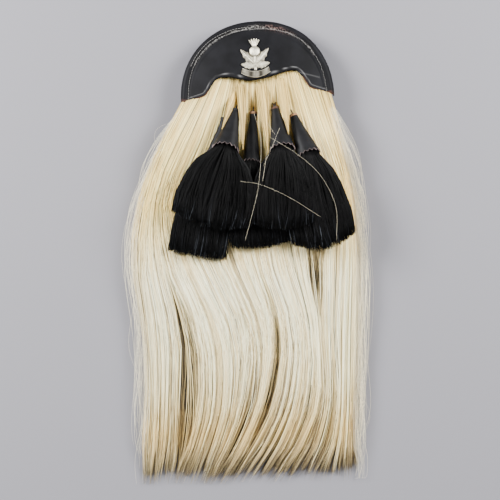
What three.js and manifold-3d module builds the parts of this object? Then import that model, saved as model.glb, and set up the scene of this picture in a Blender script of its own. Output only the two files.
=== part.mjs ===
// Horsehair sporran, worn at the front of a kilt: a domed leather cantle over a flat leather pouch,
// a long fall of cream horsehair, and five black horsehair tassels hung in leather cones.
// Millimetres. The back face of the pouch is z = 0, with the origin at the middle of the cantle's
// straight side. The crown of the cantle is towards +Y, the hair falls towards -Y, and the whole
// thing lies on its back on a surface at z = FLOOR.

import * as THREE from 'three';
import { mergeVertices } from 'three/addons/utils/BufferGeometryUtils.js';
import Module from 'manifold-3d';

const wasm = await Module();
wasm.setup();

// Driving dimensions
const GAP = 0.3;               // air between two pieces that touch
const LEATHER = 2.2;           // wall of the cantle and the pouch panels
const CANTLE_RADIUS = 88.5;    // the cantle is 177 mm wide, and a little fuller than half a disc:
const CROWN_RISE = 2.3;        // how much further it reaches at its crown,
const SHOULDER_RISE = 1;       // and between the crown and the corners
const POUCH_RADIUS = 87;       // round top of the pouch, inside the cantle's rim
const FOOT_RADIUS = 62;        // round foot of the pouch
const FOOT_CENTRE = -76;       // Y of that round foot's centre
const POUCH_DEPTH = 10;        // clear depth between the two panels, with the gaps
const STRAP_GAP = 5;           // room for the waist strap under a loop
const LOOP_WALL = 1.8;
const FLOOR = -(STRAP_GAP + LOOP_WALL);
const CUT_CLEARANCE = 0.45;    // how far a piece is swollen before it is cut out of a soft neighbour
const SHARPEST = 0.35;         // least cosine that a swollen edge makes up for

// Heights that follow from them
const GUSSET_FOOT = LEATHER + GAP;
const GUSSET_TOP = GUSSET_FOOT + POUCH_DEPTH;
const FRONT_FOOT = GUSSET_TOP + GAP;
const FRONT_TOP = FRONT_FOOT + LEATHER;
const HAIR_FOOT = FRONT_TOP + GAP;

// Solids from grids of points

// Faces of a grid of rows by columns of numbered points, two triangles to a cell.
function gridFaces(faces, rows, columns, number, flip = false) {
  for (let r = 0; r < rows - 1; r += 1) {
    for (let c = 0; c < columns - 1; c += 1) {
      const [a, b] = [number(r, c), number(r, c + 1)];
      const [d, e] = [number(r + 1, c + 1), number(r + 1, c)];
      if (flip) faces.push(a, e, b, b, e, d);
      else faces.push(a, b, e, b, d, e);
    }
  }
}

// A closed body from its points and faces, turned so that its faces point out.
function solidFrom(points, faces) {
  const position = new Float32Array(points.flatMap((p) => [p.x, p.y, p.z]));
  let volume = 0;
  for (let f = 0; f < faces.length; f += 3) {
    const [a, b, c] = [points[faces[f]], points[faces[f + 1]], points[faces[f + 2]]];
    volume += a.dot(new THREE.Vector3().crossVectors(b, c));
  }
  const outward = volume > 0 ? faces : faces.slice().reverse();
  const geometry = new THREE.BufferGeometry();
  geometry.setAttribute('position', new THREE.BufferAttribute(position, 3));
  geometry.setIndex(outward);
  return geometry;
}

// A sheet with thickness: two grids of the same size, joined all round their border.
function sheetSolid(top, under) {
  const rows = top.length;
  const columns = top[0].length;
  const points = [...top.flat(), ...under.flat()];
  const upper = (r, c) => r * columns + c;
  const lower = (r, c) => rows * columns + upper(r, c);
  const faces = [];
  gridFaces(faces, rows, columns, upper);
  gridFaces(faces, rows, columns, lower, true);
  const side = (n, onto) => gridFaces(faces, n, 2, onto);
  side(rows, (i, j) => (j === 0 ? lower(i, 0) : upper(i, 0)));
  side(rows, (i, j) => (j === 0 ? upper(i, columns - 1) : lower(i, columns - 1)));
  side(columns, (i, j) => (j === 0 ? upper(0, i) : lower(0, i)));
  side(columns, (i, j) => (j === 0 ? lower(rows - 1, i) : upper(rows - 1, i)));
  return solidFrom(points, faces);
}

// A bundle: rings of points one after another, with a fan over each end.
function bundleSolid(rings) {
  const sides = rings[0].length;
  const points = rings.flat();
  const faces = [];
  gridFaces(faces, rings.length, sides + 1, (r, c) => r * sides + (c % sides));
  const middle = (ring) => ring
    .reduce((sum, p) => sum.add(p), new THREE.Vector3())
    .divideScalar(sides);
  const last = (rings.length - 1) * sides;
  const first = points.push(middle(rings[0])) - 1;
  const end = points.push(middle(rings[rings.length - 1])) - 1;
  for (let c = 0; c < sides; c += 1) {
    const next = (c + 1) % sides;
    faces.push(first, next, c);
    faces.push(end, last + c, last + next);
  }
  return solidFrom(points, faces);
}

// A wall round a hollow that is open at both ends: rings out, over the rim and back inside.
function sleeveSolid(rings) {
  const sides = rings[0].length;
  const loop = [...rings, rings[0]];
  const faces = [];
  const number = (r, c) => (r % rings.length) * sides + (c % sides);
  gridFaces(faces, loop.length, sides + 1, number);
  return solidFrom(rings.flat(), faces);
}

// Joining and cutting

function toManifold(geometry) {
  const bare = geometry.clone();
  bare.deleteAttribute('normal');
  bare.deleteAttribute('uv');
  const merged = mergeVertices(bare, 1e-4);
  return new wasm.Manifold(new wasm.Mesh({
    numProp: 3,
    vertProperties: new Float32Array(merged.attributes.position.array),
    triVerts: new Uint32Array(merged.index.array),
  }));
}

// Back to a geometry, without the crumbs that a cut can leave.
function toGeometry(manifold) {
  const [body] = manifold.decompose().sort((a, b) => b.volume() - a.volume());
  const mesh = body.getMesh();
  const geometry = new THREE.BufferGeometry();
  geometry.setAttribute('position', new THREE.BufferAttribute(mesh.vertProperties, 3));
  geometry.setIndex(new THREE.BufferAttribute(mesh.triVerts, 1));
  return geometry;
}

// The same body a little larger all over: each point moves out along its normal, further at a
// sharp edge, so that the faces beside it still clear the body.
function swollen(geometry, distance = CUT_CLEARANCE) {
  const bare = geometry.clone();
  bare.deleteAttribute('normal');
  bare.deleteAttribute('uv');
  const merged = mergeVertices(bare, 1e-4);
  merged.computeVertexNormals();
  const { position, normal } = merged.attributes;
  const at = (attribute, i) => new THREE.Vector3().fromBufferAttribute(attribute, i);
  const facing = new Array(position.count).fill(1);
  for (let f = 0; f < merged.index.count; f += 3) {
    const corners = [0, 1, 2].map((k) => merged.index.getX(f + k));
    const [a, b, c] = corners.map((i) => at(position, i));
    const faceNormal = b.sub(a).cross(c.sub(a)).normalize();
    corners.forEach((i) => { facing[i] = Math.min(facing[i], faceNormal.dot(at(normal, i))); });
  }
  for (let i = 0; i < position.count; i += 1) {
    const reach = distance / Math.max(SHARPEST, facing[i]);
    const moved = at(position, i).addScaledVector(at(normal, i), reach);
    position.setXYZ(i, moved.x, moved.y, moved.z);
  }
  merged.deleteAttribute('normal');
  return merged;
}

function withCutOut(geometry, tools) {
  const left = tools.reduce((body, tool) => body.subtract(toManifold(tool)), toManifold(geometry));
  return toGeometry(left);
}

// Pouch: two flat panels and the wall between them.
// Its outline is the band round two circles, a large one at the top and a small one at the foot.
const SIDE_ANGLE = Math.asin((FOOT_RADIUS - POUCH_RADIUS) / -FOOT_CENTRE);

// How much further than a circle the top of the cantle and the pouch reaches, by angle.
function fullness(angle) {
  const rise = Math.sin(angle);
  return rise > 0 ? CROWN_RISE * rise + SHOULDER_RISE * Math.sin(2 * angle) ** 2 : 0;
}

const POUCH_STEPS = 18;

function pouchOutline(inset, Kind = THREE.Shape) {
  const top = [];
  for (let k = 0; k <= POUCH_STEPS; k += 1) {
    const angle = THREE.MathUtils.lerp(SIDE_ANGLE, Math.PI - SIDE_ANGLE, k / POUCH_STEPS);
    const reach = POUCH_RADIUS - inset + fullness(angle);
    top.push(new THREE.Vector2(reach * Math.cos(angle), reach * Math.sin(angle)));
  }
  const outline = new Kind(top);
  outline.absarc(0, FOOT_CENTRE, FOOT_RADIUS - inset, Math.PI - SIDE_ANGLE, 2 * Math.PI + SIDE_ANGLE);
  return outline;
}

function slab(shape, foot, top, curveSegments = 9) {
  const geometry = new THREE.ExtrudeGeometry(shape, {
    depth: top - foot,
    bevelEnabled: false,
    curveSegments,
  });
  return geometry.translate(0, 0, foot);
}

function rectangle(left, right, bottom, top, Kind = THREE.Shape) {
  const outline = new Kind();
  outline.moveTo(left, bottom);
  outline.lineTo(right, bottom);
  outline.lineTo(right, top);
  outline.lineTo(left, top);
  outline.closePath();
  return outline;
}

// Back panel: the mouth of the pouch is a slot below the strap loops.
const MOUTH = { halfWidth: 55, bottom: 6, top: 22 };

function backPanel() {
  const shape = pouchOutline(0);
  const { halfWidth, bottom, top } = MOUTH;
  shape.holes.push(rectangle(-halfWidth, halfWidth, bottom, top, THREE.Path));
  return slab(shape, 0, LEATHER);
}

const GUSSET_INSET = 2.5;
const GUSSET_WALL = 2;

function gusset() {
  const shape = pouchOutline(GUSSET_INSET);
  shape.holes.push(pouchOutline(GUSSET_INSET + GUSSET_WALL, THREE.Path));
  return slab(shape, GUSSET_FOOT, GUSSET_TOP);
}

// Front panel: full width below the cantle, narrower where it is tucked under the dome.
const TUCK_RADIUS = 72;
const SHOULDER = -4;

function frontPanel() {
  const radius = POUCH_RADIUS - GUSSET_INSET - GAP;
  const foot = FOOT_RADIUS - GUSSET_INSET - GAP;
  const outline = new THREE.Shape();
  const tuckAngle = Math.asin(SHOULDER / TUCK_RADIUS);
  const wideAngle = Math.asin(SHOULDER / radius);
  outline.absarc(0, 0, TUCK_RADIUS, tuckAngle, Math.PI - tuckAngle);
  outline.absarc(0, 0, radius, Math.PI - wideAngle, Math.PI - SIDE_ANGLE);
  outline.absarc(0, FOOT_CENTRE, foot, Math.PI - SIDE_ANGLE, 2 * Math.PI + SIDE_ANGLE);
  outline.absarc(0, 0, radius, SIDE_ANGLE, wideAngle);
  return slab(outline, FRONT_FOOT, FRONT_TOP, 8);
}

// Strap loops: a leather strip bent into a bridge, with a foot at each end.
const LOOP = { centreX: 34, width: 24, bottom: 25, tunnel: 26, foot: 7 };

function strapLoop(side) {
  const { centreX, width, bottom, tunnel, foot } = LOOP;
  const length = 2 * (foot + LOOP_WALL) + tunnel;
  const seat = -GAP;
  const bend = LOOP_WALL / 2;
  // The lower half of the section, as Y from the loop's bottom end and Z; the upper half mirrors it.
  const half = [
    [0, seat - LOOP_WALL],
    [0, seat],
    [foot + LOOP_WALL, seat],
    [foot + LOOP_WALL, -STRAP_GAP],
  ];
  const outer = [
    [foot + bend, FLOOR],
    [foot, FLOOR + bend],
    [foot, seat - LOOP_WALL],
  ];
  const mirrored = (corners) => corners.map(([y, z]) => [length - y, z]).reverse();
  const corners = [...half, ...mirrored(half), ...mirrored(outer), ...outer];
  const section = new THREE.Shape(corners.map(([y, z]) => new THREE.Vector2(bottom + y, z)));
  const geometry = new THREE.ExtrudeGeometry(section, { depth: width, bevelEnabled: false });
  // The section is drawn in the plane of Y and Z, and its depth becomes X.
  const turn = new THREE.Matrix4().set(0, 0, 1, 0, 1, 0, 0, 0, 0, 1, 0, 0, 0, 0, 0, 1);
  geometry.applyMatrix4(turn);
  return geometry.translate(side * centreX - width / 2, 0, 0);
}

// Cantle: a leather shell, rolled over at the round rim and domed inside it.
// The lower edge runs from the left cusp over two humps and a dip to the right cusp, and each
// corner reaches out from its cusp to the rim.
const LOWER_EDGE = [
  { x: -61, y: 5.5 },
  { x: -55, y: 11.5 },
  { x: -47, y: 22.5 },
  { x: -36, y: 26 },
  { x: -17, y: 22 },
  { x: -3, y: 20.5 },
  { x: 22, y: 24.5 },
  { x: 43, y: 29.7 },
  { x: 53, y: 24 },
  { x: 58, y: 16 },
  { x: 64.5, y: 8 },
];
const CORNER_DROP = 1;          // how far the corners hang below the straight side
// Rim section: distance in from the outer edge, height of the face and of the inner side.
const RIM = [
  { inset: 0, top: GUSSET_FOOT, insideInset: 1.25, inside: GUSSET_FOOT },
  { inset: 0, top: 13, insideInset: 1.3, inside: 12 },
  { inset: 1.6, top: 17.6, insideInset: 3, inside: 15.9 },
  { inset: 5, top: 19, insideInset: 5.4, inside: 16.8 },
  { inset: 9.3, top: 17, insideInset: 9.3, inside: 14.8 },
  { inset: 10.6, top: 18, insideInset: 11.2, inside: 15.8 },
];
const DOME = { foot: 18, crown: 28, radius: CANTLE_RADIUS - 10.6 };
const DOME_STEPS = 4;
const CANTLE_RAILS = 27;

function domeHeight(x, y) {
  const share = (x * x + y * y) / (DOME.radius * DOME.radius);
  return DOME.foot + (DOME.crown - DOME.foot) * (1 - share);
}

function cantle() {
  const edge = new THREE.CatmullRomCurve3(LOWER_EDGE.map((p) => new THREE.Vector3(p.x, p.y, 0)));
  const droop = Math.asin(CORNER_DROP / CANTLE_RADIUS);
  const top = [];
  const under = [];
  for (let i = 0; i < CANTLE_RAILS; i += 1) {
    const along = i / (CANTLE_RAILS - 1);
    const angle = Math.PI + droop - along * (Math.PI + 2 * droop);
    const reach = CANTLE_RADIUS + fullness(angle);
    const rim = new THREE.Vector3(Math.cos(angle), Math.sin(angle), 0).multiplyScalar(reach);
    const inner = edge.getPointAt(along);
    const length = rim.distanceTo(inner);
    const at = (inset, z) => rim.clone().lerp(inner, inset / length).setZ(z);
    const outside = RIM.map((row) => at(row.inset, row.top));
    const inside = RIM.map((row) => at(row.insideInset, row.inside));
    const domeInset = RIM[RIM.length - 1].inset;
    for (let step = 1; step <= DOME_STEPS; step += 1) {
      const inset = domeInset + (length - domeInset) * (step / DOME_STEPS);
      const point = at(inset, 0);
      const z = domeHeight(point.x, point.y);
      outside.push(point.clone().setZ(z));
      inside.push(point.clone().setZ(z - LEATHER));
    }
    top.push(outside);
    under.push(inside);
  }
  return sheetSolid(top, under);
}

// Badge: a thistle sprig over a plain scroll, cast in low relief, with two posts on its back.
// Drawn flat round its own middle, then set down on the dome with the dome's lean.
const BADGE = { x: 1, y: 46.5, lean: 0.155, height: 2.4, sunk: -3 };
const POSTS = [{ x: 0, y: 8 }, { x: 0, y: -12 }];
const POST = { radius: 1.3, hole: 1.75, length: 7, top: 1.46 };
// One row per leaf: its stalk, its tip, its half width and the height of its face.
const LEAVES = [
  { stalk: [0, -8], tip: [16.5, 11], width: 5.2, height: 1.7 },
  { stalk: [0, -8], tip: [-16.5, 11], width: 5.2, height: 1.7 },
  { stalk: [0, -10], tip: [17, -7], width: 4.8, height: 2.15 },
  { stalk: [0, -10], tip: [-17, -7], width: 4.8, height: 2.15 },
];
const LEAF_TEETH = 4;
const LEAF_NOTCH = 0.62;        // width between two teeth, as a share of the width at them
// Its upper and its lower edge: half width, Y of the ends and Y that the edge sags towards.
const SCROLL = { halfTop: 15, top: -11.5, topSag: -20, halfFoot: 17, foot: -17.5, footSag: -29.5 };
const SCROLL_HEIGHT = 1.8;
const STEM = { halfWidth: 1.7, bottom: -16, top: 6, height: 2.3 };
const BULB = { radius: 6.6, flat: 0.62, y: 7.5, z: 0.84 };
const TUFT = { halfFoot: 4.5, foot: 12, centre: 11, spikes: 5, spread: 1.3, reach: 12, notch: 9 };

// A pointed leaf with a toothed edge, from its stalk to its tip.
function leafShape({ stalk, tip, width }) {
  const from = new THREE.Vector2(...stalk);
  const to = new THREE.Vector2(...tip);
  const along = to.clone().sub(from);
  const across = new THREE.Vector2(-along.y, along.x).normalize();
  const side = (hand) => {
    const edge = [];
    for (let k = 1; k < 2 * LEAF_TEETH; k += 1) {
      const share = k / (2 * LEAF_TEETH);
      const belly = width * Math.sin(Math.PI * share ** 0.8) * (k % 2 ? 1 : LEAF_NOTCH);
      edge.push(from.clone().addScaledVector(along, share).addScaledVector(across, hand * belly));
    }
    return edge;
  };
  return new THREE.Shape([from, ...side(1), to, ...side(-1).reverse()]);
}

function scrollShape() {
  const { halfTop, top, topSag, halfFoot, foot, footSag } = SCROLL;
  const shape = new THREE.Shape();
  shape.moveTo(-halfTop, top);
  shape.quadraticCurveTo(0, topSag, halfTop, top);
  shape.lineTo(halfFoot, foot);
  shape.quadraticCurveTo(0, footSag, -halfFoot, foot);
  shape.closePath();
  return shape;
}

// The tuft of the thistle: a fan whose edge is cut into points.
function tuftShape() {
  const { halfFoot, foot, centre, spikes, spread, reach, notch } = TUFT;
  const points = [new THREE.Vector2(-halfFoot, foot), new THREE.Vector2(halfFoot, foot)];
  for (let k = 0; k <= 2 * spikes; k += 1) {
    const angle = (0.5 - k / (2 * spikes)) * spread;
    const far = k % 2 ? notch : reach;
    points.push(new THREE.Vector2(far * Math.sin(angle), centre + far * Math.cos(angle)));
  }
  return new THREE.Shape(points);
}

const BADGE_PLACE = new THREE.Matrix4()
  .makeTranslation(BADGE.x, BADGE.y, domeHeight(BADGE.x, BADGE.y) + GAP)
  .multiply(new THREE.Matrix4().makeRotationX(-Math.atan(BADGE.lean)));

function posts(radius) {
  return POSTS.map(({ x, y }) => {
    const post = new THREE.CylinderGeometry(radius, radius, POST.length, 12);
    post.rotateX(Math.PI / 2);
    post.translate(x, y, POST.top - POST.length / 2);
    return post.applyMatrix4(BADGE_PLACE);
  });
}

function badge(cantleBody) {
  const raised = (shape, height) => slab(shape, BADGE.sunk, height, 8);
  const bulb = new THREE.SphereGeometry(BULB.radius, 12, 6);
  bulb.scale(1, 1, BULB.flat);
  bulb.translate(0, BULB.y, BULB.z);
  const stem = rectangle(-STEM.halfWidth, STEM.halfWidth, STEM.bottom, STEM.top);
  const pieces = [
    raised(scrollShape(), SCROLL_HEIGHT),
    raised(tuftShape(), BADGE.height),
    ...LEAVES.map((leaf) => raised(leafShape(leaf), leaf.height)),
    raised(stem, STEM.height),
    bulb,
  ];
  const relief = pieces
    .map((piece) => toManifold(piece.applyMatrix4(BADGE_PLACE)))
    .reduce((all, piece) => all.add(piece))
    .subtract(toManifold(swollen(cantleBody)));
  return toGeometry(posts(POST.radius).reduce((all, post) => all.add(toManifold(post)), relief));
}

// Tassels: a bundle of hair bound into a leather cone with a pinked edge, on a thong.
// One row each: where the cone's tip, the middle of its rim and the middle of the skirt's foot
// lie, the half width there (neck and flare), the half depth of the skirt, and how far the corners
// of its foot are drawn up.
const TASSELS = [
  {
    tip: [-38.5, -21, 21.5], rim: [-52, -63, 25.5], neck: 10,
    foot: [-79, -180, 25], flare: 34, deep: 7, arc: 3,
  },
  {
    tip: [-24.4, -12.5, 26], rim: [-39, -60, 43], neck: 15.5,
    foot: [-61, -147, 41], flare: 45, deep: 8, arc: 10,
  },
  {
    tip: [-4.5, -16, 24], rim: [-11, -76, 30], neck: 11,
    foot: [-6, -174, 26], flare: 37, deep: 7, arc: 5,
  },
  {
    tip: [20.6, -13, 26], rim: [25.5, -64, 43], neck: 15,
    foot: [20, -155, 41.5], flare: 38, deep: 8, arc: 10,
  },
  {
    tip: [41, -22, 26], rim: [56, -72, 38], neck: 14.5,
    foot: [68, -180, 31], flare: 36, deep: 8, arc: 14,
  },
];
const CONE_WALL = 1.5;
const CONE_TIP = 4.4;           // half width of a cone at its tip
const CONE_SIDES = 24;
const PINK_DEPTH = 1.3;         // half the height of a tooth
const RIM_ARCH = 4;             // how far the upper side of the rim is cut back
// Cone section: share of its length, share of its rim's half width.
const CONE = [{ along: 0, wide: 0.29 }, { along: 0.4, wide: 0.54 }, { along: 1, wide: 1 }];
const CONE_FLATNESS = [0.5, 0.78, 0.55, 0.78, 0.78];
// Skirt section: share of the way from the cone's rim to the foot, half width as a share of the
// foot's, half depth as a share of the full depth. The first one fills the cone's rim.
const SKIRT = [
  { along: 0.0 },
  { along: 0.1, wide: 0.5, deep: 1.15 },
  { along: 0.32, wide: 0.79, deep: 1.25 },
  { along: 0.68, wide: 0.98, deep: 1.1 },
  { along: 1.0, wide: 0.97, deep: 0.62 },
];
const SKIRT_SIDES = 20;
const LOCK_DEPTH = 0.035;
// The hair inside the cone: how far back from the rim, as a share of the cone's length.
const NECK = [{ back: 0.45 }, { back: 0.12 }];
const NECK_FILL = 0.94;         // how much of the hollow's width the hair takes up

const vector = (p) => new THREE.Vector3(...p);

// Side and upward directions of a section whose axis runs along the given direction.
function sectionFrame(direction) {
  const side = new THREE.Vector3(-direction.y, direction.x, 0).normalize();
  const up = new THREE.Vector3().crossVectors(direction, side).normalize();
  if (up.z < 0) up.negate();
  return { side, up };
}

function sectionRing(centre, direction, wide, deep, sides, along = () => 0) {
  const { side, up } = sectionFrame(direction);
  const ring = [];
  for (let k = 0; k < sides; k += 1) {
    const angle = (2 * Math.PI * k) / sides;
    ring.push(centre.clone()
      .addScaledVector(side, wide * Math.cos(angle))
      .addScaledVector(up, deep * Math.sin(angle))
      .addScaledVector(direction, along(angle, k)));
  }
  return ring;
}

// With room, it is the plain sleeve that the hair is cut clear of: larger all round and unpinked.
function tasselCone(tassel, flatness, room = 0) {
  const [tip, rim] = [vector(tassel.tip), vector(tassel.rim)];
  const direction = rim.clone().sub(tip).normalize();
  const tooth = (k) => (k % 2 ? PINK_DEPTH : -PINK_DEPTH);
  const arch = (angle) => RIM_ARCH * Math.max(0, Math.sin(angle));
  const atRim = (angle, k) => (room ? PINK_DEPTH + room : tooth(k)) - arch(angle);
  const atTip = () => -room;
  const row = ({ along, wide }, wall) => {
    const half = Math.max(tassel.neck * wide, CONE_TIP) - wall;
    const flat = flatness + (1 - flatness) * (1 - along);
    const centre = tip.clone().lerp(rim, along);
    const ends = { 0: atTip, 1: atRim };
    return sectionRing(centre, direction, half, half * flat, CONE_SIDES, ends[along]);
  };
  const outside = CONE.map((section) => row(section, -room));
  const inside = [CONE[0], CONE[2]].map((section) => row(section, CONE_WALL + room));
  return sleeveSolid([...outside, ...inside.reverse()]);
}

function tasselHair(tassel, flatness) {
  const [tip, rim, foot] = [vector(tassel.tip), vector(tassel.rim), vector(tassel.foot)];
  const intoCone = rim.clone().sub(tip).normalize();
  const spread = foot.clone().sub(rim).normalize();
  const middle = rim.clone().lerp(foot, 0.5);
  const path = new THREE.CatmullRomCurve3([rim.clone().lerp(tip, NECK[1].back), rim, middle, foot]);
  const hollow = (wide) => NECK_FILL * (tassel.neck * wide - CONE_WALL - GAP);
  const neck = NECK.map(({ back }) => {
    const wide = THREE.MathUtils.mapLinear(1 - back, CONE[1].along, 1, CONE[1].wide, 1);
    const half = hollow(wide);
    const flat = flatness + (1 - flatness) * back;
    return sectionRing(rim.clone().lerp(tip, back), intoCone, half, half * flat, SKIRT_SIDES);
  });
  const skirt = SKIRT.map(({ along, wide, deep }) => {
    const inCone = along === 0;
    const centre = path.getPoint((1 + 2 * along) / 3);
    const half = inCone ? hollow(1) : tassel.flare * wide;
    const depth = inCone ? half * flatness : tassel.deep * deep;
    const lock = (k) => 1 + LOCK_DEPTH * along * (k % 2 ? 1 : -1);
    const arc = (angle) => -tassel.arc * (along * Math.cos(angle)) ** 2;
    const ring = sectionRing(centre, inCone ? intoCone : spread, half, depth, SKIRT_SIDES, arc);
    return ring.map((p, k) => centre.clone().lerp(p, lock(k)));
  });
  return bundleSolid([...neck, ...skirt]);
}

// Thong: up out of the cone's tip, then down through the hair to the front panel.
const THONG = { radius: 1.3, rise: 14, inCone: 9, stand: 4 };

function tasselThong(tassel) {
  const [tip, rim] = [vector(tassel.tip), vector(tassel.rim)];
  const direction = rim.clone().sub(tip).normalize();
  const anchor = tip.clone().addScaledVector(direction, -THONG.rise).setZ(HAIR_FOOT);
  const path = new THREE.CatmullRomCurve3([
    anchor,
    anchor.clone().setZ(HAIR_FOOT + THONG.stand),
    tip.clone().addScaledVector(direction, -THONG.rise * 0.45),
    tip,
    tip.clone().addScaledVector(direction, THONG.inCone),
  ]);
  const section = new THREE.Shape().absarc(0, 0, THONG.radius, 0, 2 * Math.PI);
  const options = { steps: 7, extrudePath: path, bevelEnabled: false, curveSegments: 4 };
  return new THREE.ExtrudeGeometry(section, options);
}

// Horsehair: locks side by side, fused into one fall that starts under the cantle's lower edge,
// covers the pouch, and lies on the surface below it.
// Stations down the fall, with the height of its face there.
const STATIONS = [
  { name: 'root', y: 0, top: 19 },
  { name: 'flare', y: -55, top: 22.5 },
  { name: 'hip', y: -110, top: 21.5 },
  { name: 'waist', y: -180, top: 18.5 },
  { name: 'belly', y: -265, top: 13 },
  { name: 'sway', y: -345, top: 9 },
  { name: 'ankle', y: -395, top: 4.5 },
  { name: 'tip', y: -421, top: -2.5 },
];
// Lines between the locks, left to right: height of the root, then X at each station.
const LINES = [
  { rootY: 2.5, x: [-87.5, -118, -141, -156, -150, -152, -158, -160] },
  { rootY: 6, x: [-80, -112, -134, -146, -142, -143, -149, -152] },
  { rootY: 8, x: [-71, -106, -129, -138, -129, -131, -136, -141] },
  { rootY: 9, x: [-62, -99, -122, -125, -108, -114, -120, -126] },
  { rootY: 17, x: [-53, -92, -116, -112, -90, -91, -102, -113] },
  { rootY: 26, x: [-45, -84, -110, -100, -70, -70, -85, -96] },
  { rootY: 30, x: [-38, -76, -102, -86, -53, -54, -69, -80] },
  { rootY: 30, x: [-32, -66, -88, -66, -36, -42, -60, -74] },
  { rootY: 28, x: [-24, -40, -54, -42, -13, -21, -43, -59] },
  { rootY: 26, x: [-14, -21, -27, -22, 3, -12, -36, -53] },
  { rootY: 24, x: [-2, -4, -4, -4, 15, 3, -21, -38] },
  { rootY: 26, x: [10, 10, 9, 12, 34, 25, 4, -13] },
  { rootY: 28, x: [21, 24, 25, 28, 46, 41, 23, 5] },
  { rootY: 31, x: [32, 41, 46, 47, 54, 52, 32, 15] },
  { rootY: 33, x: [42, 63, 74, 67, 64, 64, 50, 35] },
  { rootY: 31, x: [50, 74, 90, 87, 78, 76, 67, 56] },
  { rootY: 19, x: [59, 82, 97, 96, 87, 81, 76, 70] },
  { rootY: 11, x: [70, 91, 103, 104, 96, 90, 86, 84] },
  { rootY: 4, x: [87, 102, 109, 110, 105, 98, 94, 96] },
];
const TIP_TILT = 8.7;           // how much lower the foot of the fall hangs at its right side
const HAIR_ROWS = 14;
const LOCK_SHARES = [0, 0.5];    // a parting, then the middle of a lock
const RIDGE = 1.6;              // half the height of a lock over the parting beside it
const EDGE_HEIGHT = 3;          // thickness of the fall at its two sides
const TIP_LENGTH = 7;           // how far a lock's middle hangs below its partings,
const TIP_UNEVEN = 3;           // give or take this
// Wide partings: the strip between two lines that sinks, how far, and between which Y.
const PARTINGS = [
  { strip: 3, depth: 11, from: -205, to: -412 },
  { strip: 9, depth: 7, from: -235, to: -385 },
  { strip: 13, depth: 12, from: -160, to: -245 },
];

// How deep the strip is sunk there: nothing at both ends of its lane, the full depth halfway.
function partingDepth(strip, y) {
  const lane = PARTINGS.find((parting) => parting.strip === strip);
  if (!lane) return 0;
  const along = THREE.MathUtils.clamp((y - lane.from) / (lane.to - lane.from), 0, 1);
  return lane.depth * Math.sqrt(Math.sin(Math.PI * along));
}

function horsehair(tools) {
  const last = LINES.length - 1;
  const curves = LINES.map(({ rootY, x }, i) => {
    const drop = (TIP_TILT * i) / last;
    return new THREE.CatmullRomCurve3(x.map((value, s) => {
      const y = s === 0 ? rootY : STATIONS[s].y - drop;
      return new THREE.Vector3(value, y, STATIONS[s].top);
    }));
  });
  const top = [];
  const under = [];
  for (let r = 0; r < HAIR_ROWS; r += 1) {
    const down = r / (HAIR_ROWS - 1);
    const points = curves.map((curve) => curve.getPoint(down));
    const face = [];
    for (let strip = 0; strip <= last; strip += 1) {
      const shares = strip < last ? LOCK_SHARES : [0];
      shares.forEach((share) => {
        const next = points[Math.min(strip + 1, last)];
        const p = points[strip].clone().lerp(next, share);
        const inLock = share > 0;
        const crown = inLock ? RIDGE : -RIDGE;
        const across = Math.abs((2 * (strip + share)) / last - 1);
        const body = Math.sqrt(1 - across ** 4);
        const edge = FLOOR + EDGE_HEIGHT;
        const lane = inLock ? partingDepth(strip, p.y) : 0;
        p.z = Math.max(edge, edge + (p.z + crown - edge) * body - lane);
        if (inLock && r === HAIR_ROWS - 1) p.y -= TIP_LENGTH + TIP_UNEVEN * Math.sin(strip * 2.4);
        face.push(p);
      });
    }
    top.push(face);
    under.push(face.map((p) => p.clone().setZ(FLOOR)));
  }
  return withCutOut(sheetSolid(top, under), tools);
}

// Assembly

const part = new THREE.Group();
const FINISHES = {
  leather: { color: 0x2b2b2e, roughness: 0.42, metalness: 0 },
  silver: { color: 0xb9b8ae, roughness: 0.35, metalness: 1 },
  creamHair: { color: 0xe4d8b8, roughness: 0.5, metalness: 0 },
  blackHair: { color: 0x121214, roughness: 0.45, metalness: 0 },
  cord: { color: 0x3a2a1e, roughness: 0.7, metalness: 0 },
};

function addPiece(name, geometry, finish) {
  const mesh = new THREE.Mesh(geometry, new THREE.MeshStandardMaterial(FINISHES[finish]));
  mesh.name = name;
  part.add(mesh);
  return geometry;
}

addPiece('back_panel', backPanel(), 'leather');
addPiece('gusset', gusset(), 'leather');
addPiece('front_panel', frontPanel(), 'leather');
addPiece('strap_loop_left', strapLoop(-1), 'leather');
addPiece('strap_loop_right', strapLoop(1), 'leather');

const cantleBody = cantle();
addPiece('cantle', withCutOut(cantleBody, posts(POST.hole)), 'leather');
addPiece('badge', badge(cantleBody), 'silver');

const cones = TASSELS.map((tassel, i) => tasselCone(tassel, CONE_FLATNESS[i]));
const thongs = TASSELS.map(tasselThong);
const skirts = TASSELS.map((tassel, i) => tasselHair(tassel, CONE_FLATNESS[i]));

// Which skirts lie on each one, first to last: it gives way to them.
const ABOVE = [[1, 2], [3], [1, 3, 4], [], [3]];
const coneRoom = TASSELS.map((tassel, i) => tasselCone(tassel, CONE_FLATNESS[i], 2 * CUT_CLEARANCE));
// What a skirt is cut clear of: the one above it, swollen, and set a little lower and further down.
const pressedBy = (skirt) => [
  swollen(skirt, 2 * CUT_CLEARANCE),
  skirt.clone().translate(0, 0, -CUT_CLEARANCE),
  skirt.clone().translate(0, -CUT_CLEARANCE, 0),
];
const restedSkirts = skirts.map((skirt, i) => withCutOut(
  skirt,
  [...ABOVE[i].flatMap((k) => pressedBy(skirts[k])), ...coneRoom],
));

TASSELS.forEach((_, i) => {
  addPiece(`tassel_cone_${i + 1}`, cones[i], 'leather');
  addPiece(`tassel_hair_${i + 1}`, restedSkirts[i], 'blackHair');
  addPiece(`tassel_thong_${i + 1}`, thongs[i], 'cord');
});

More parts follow.
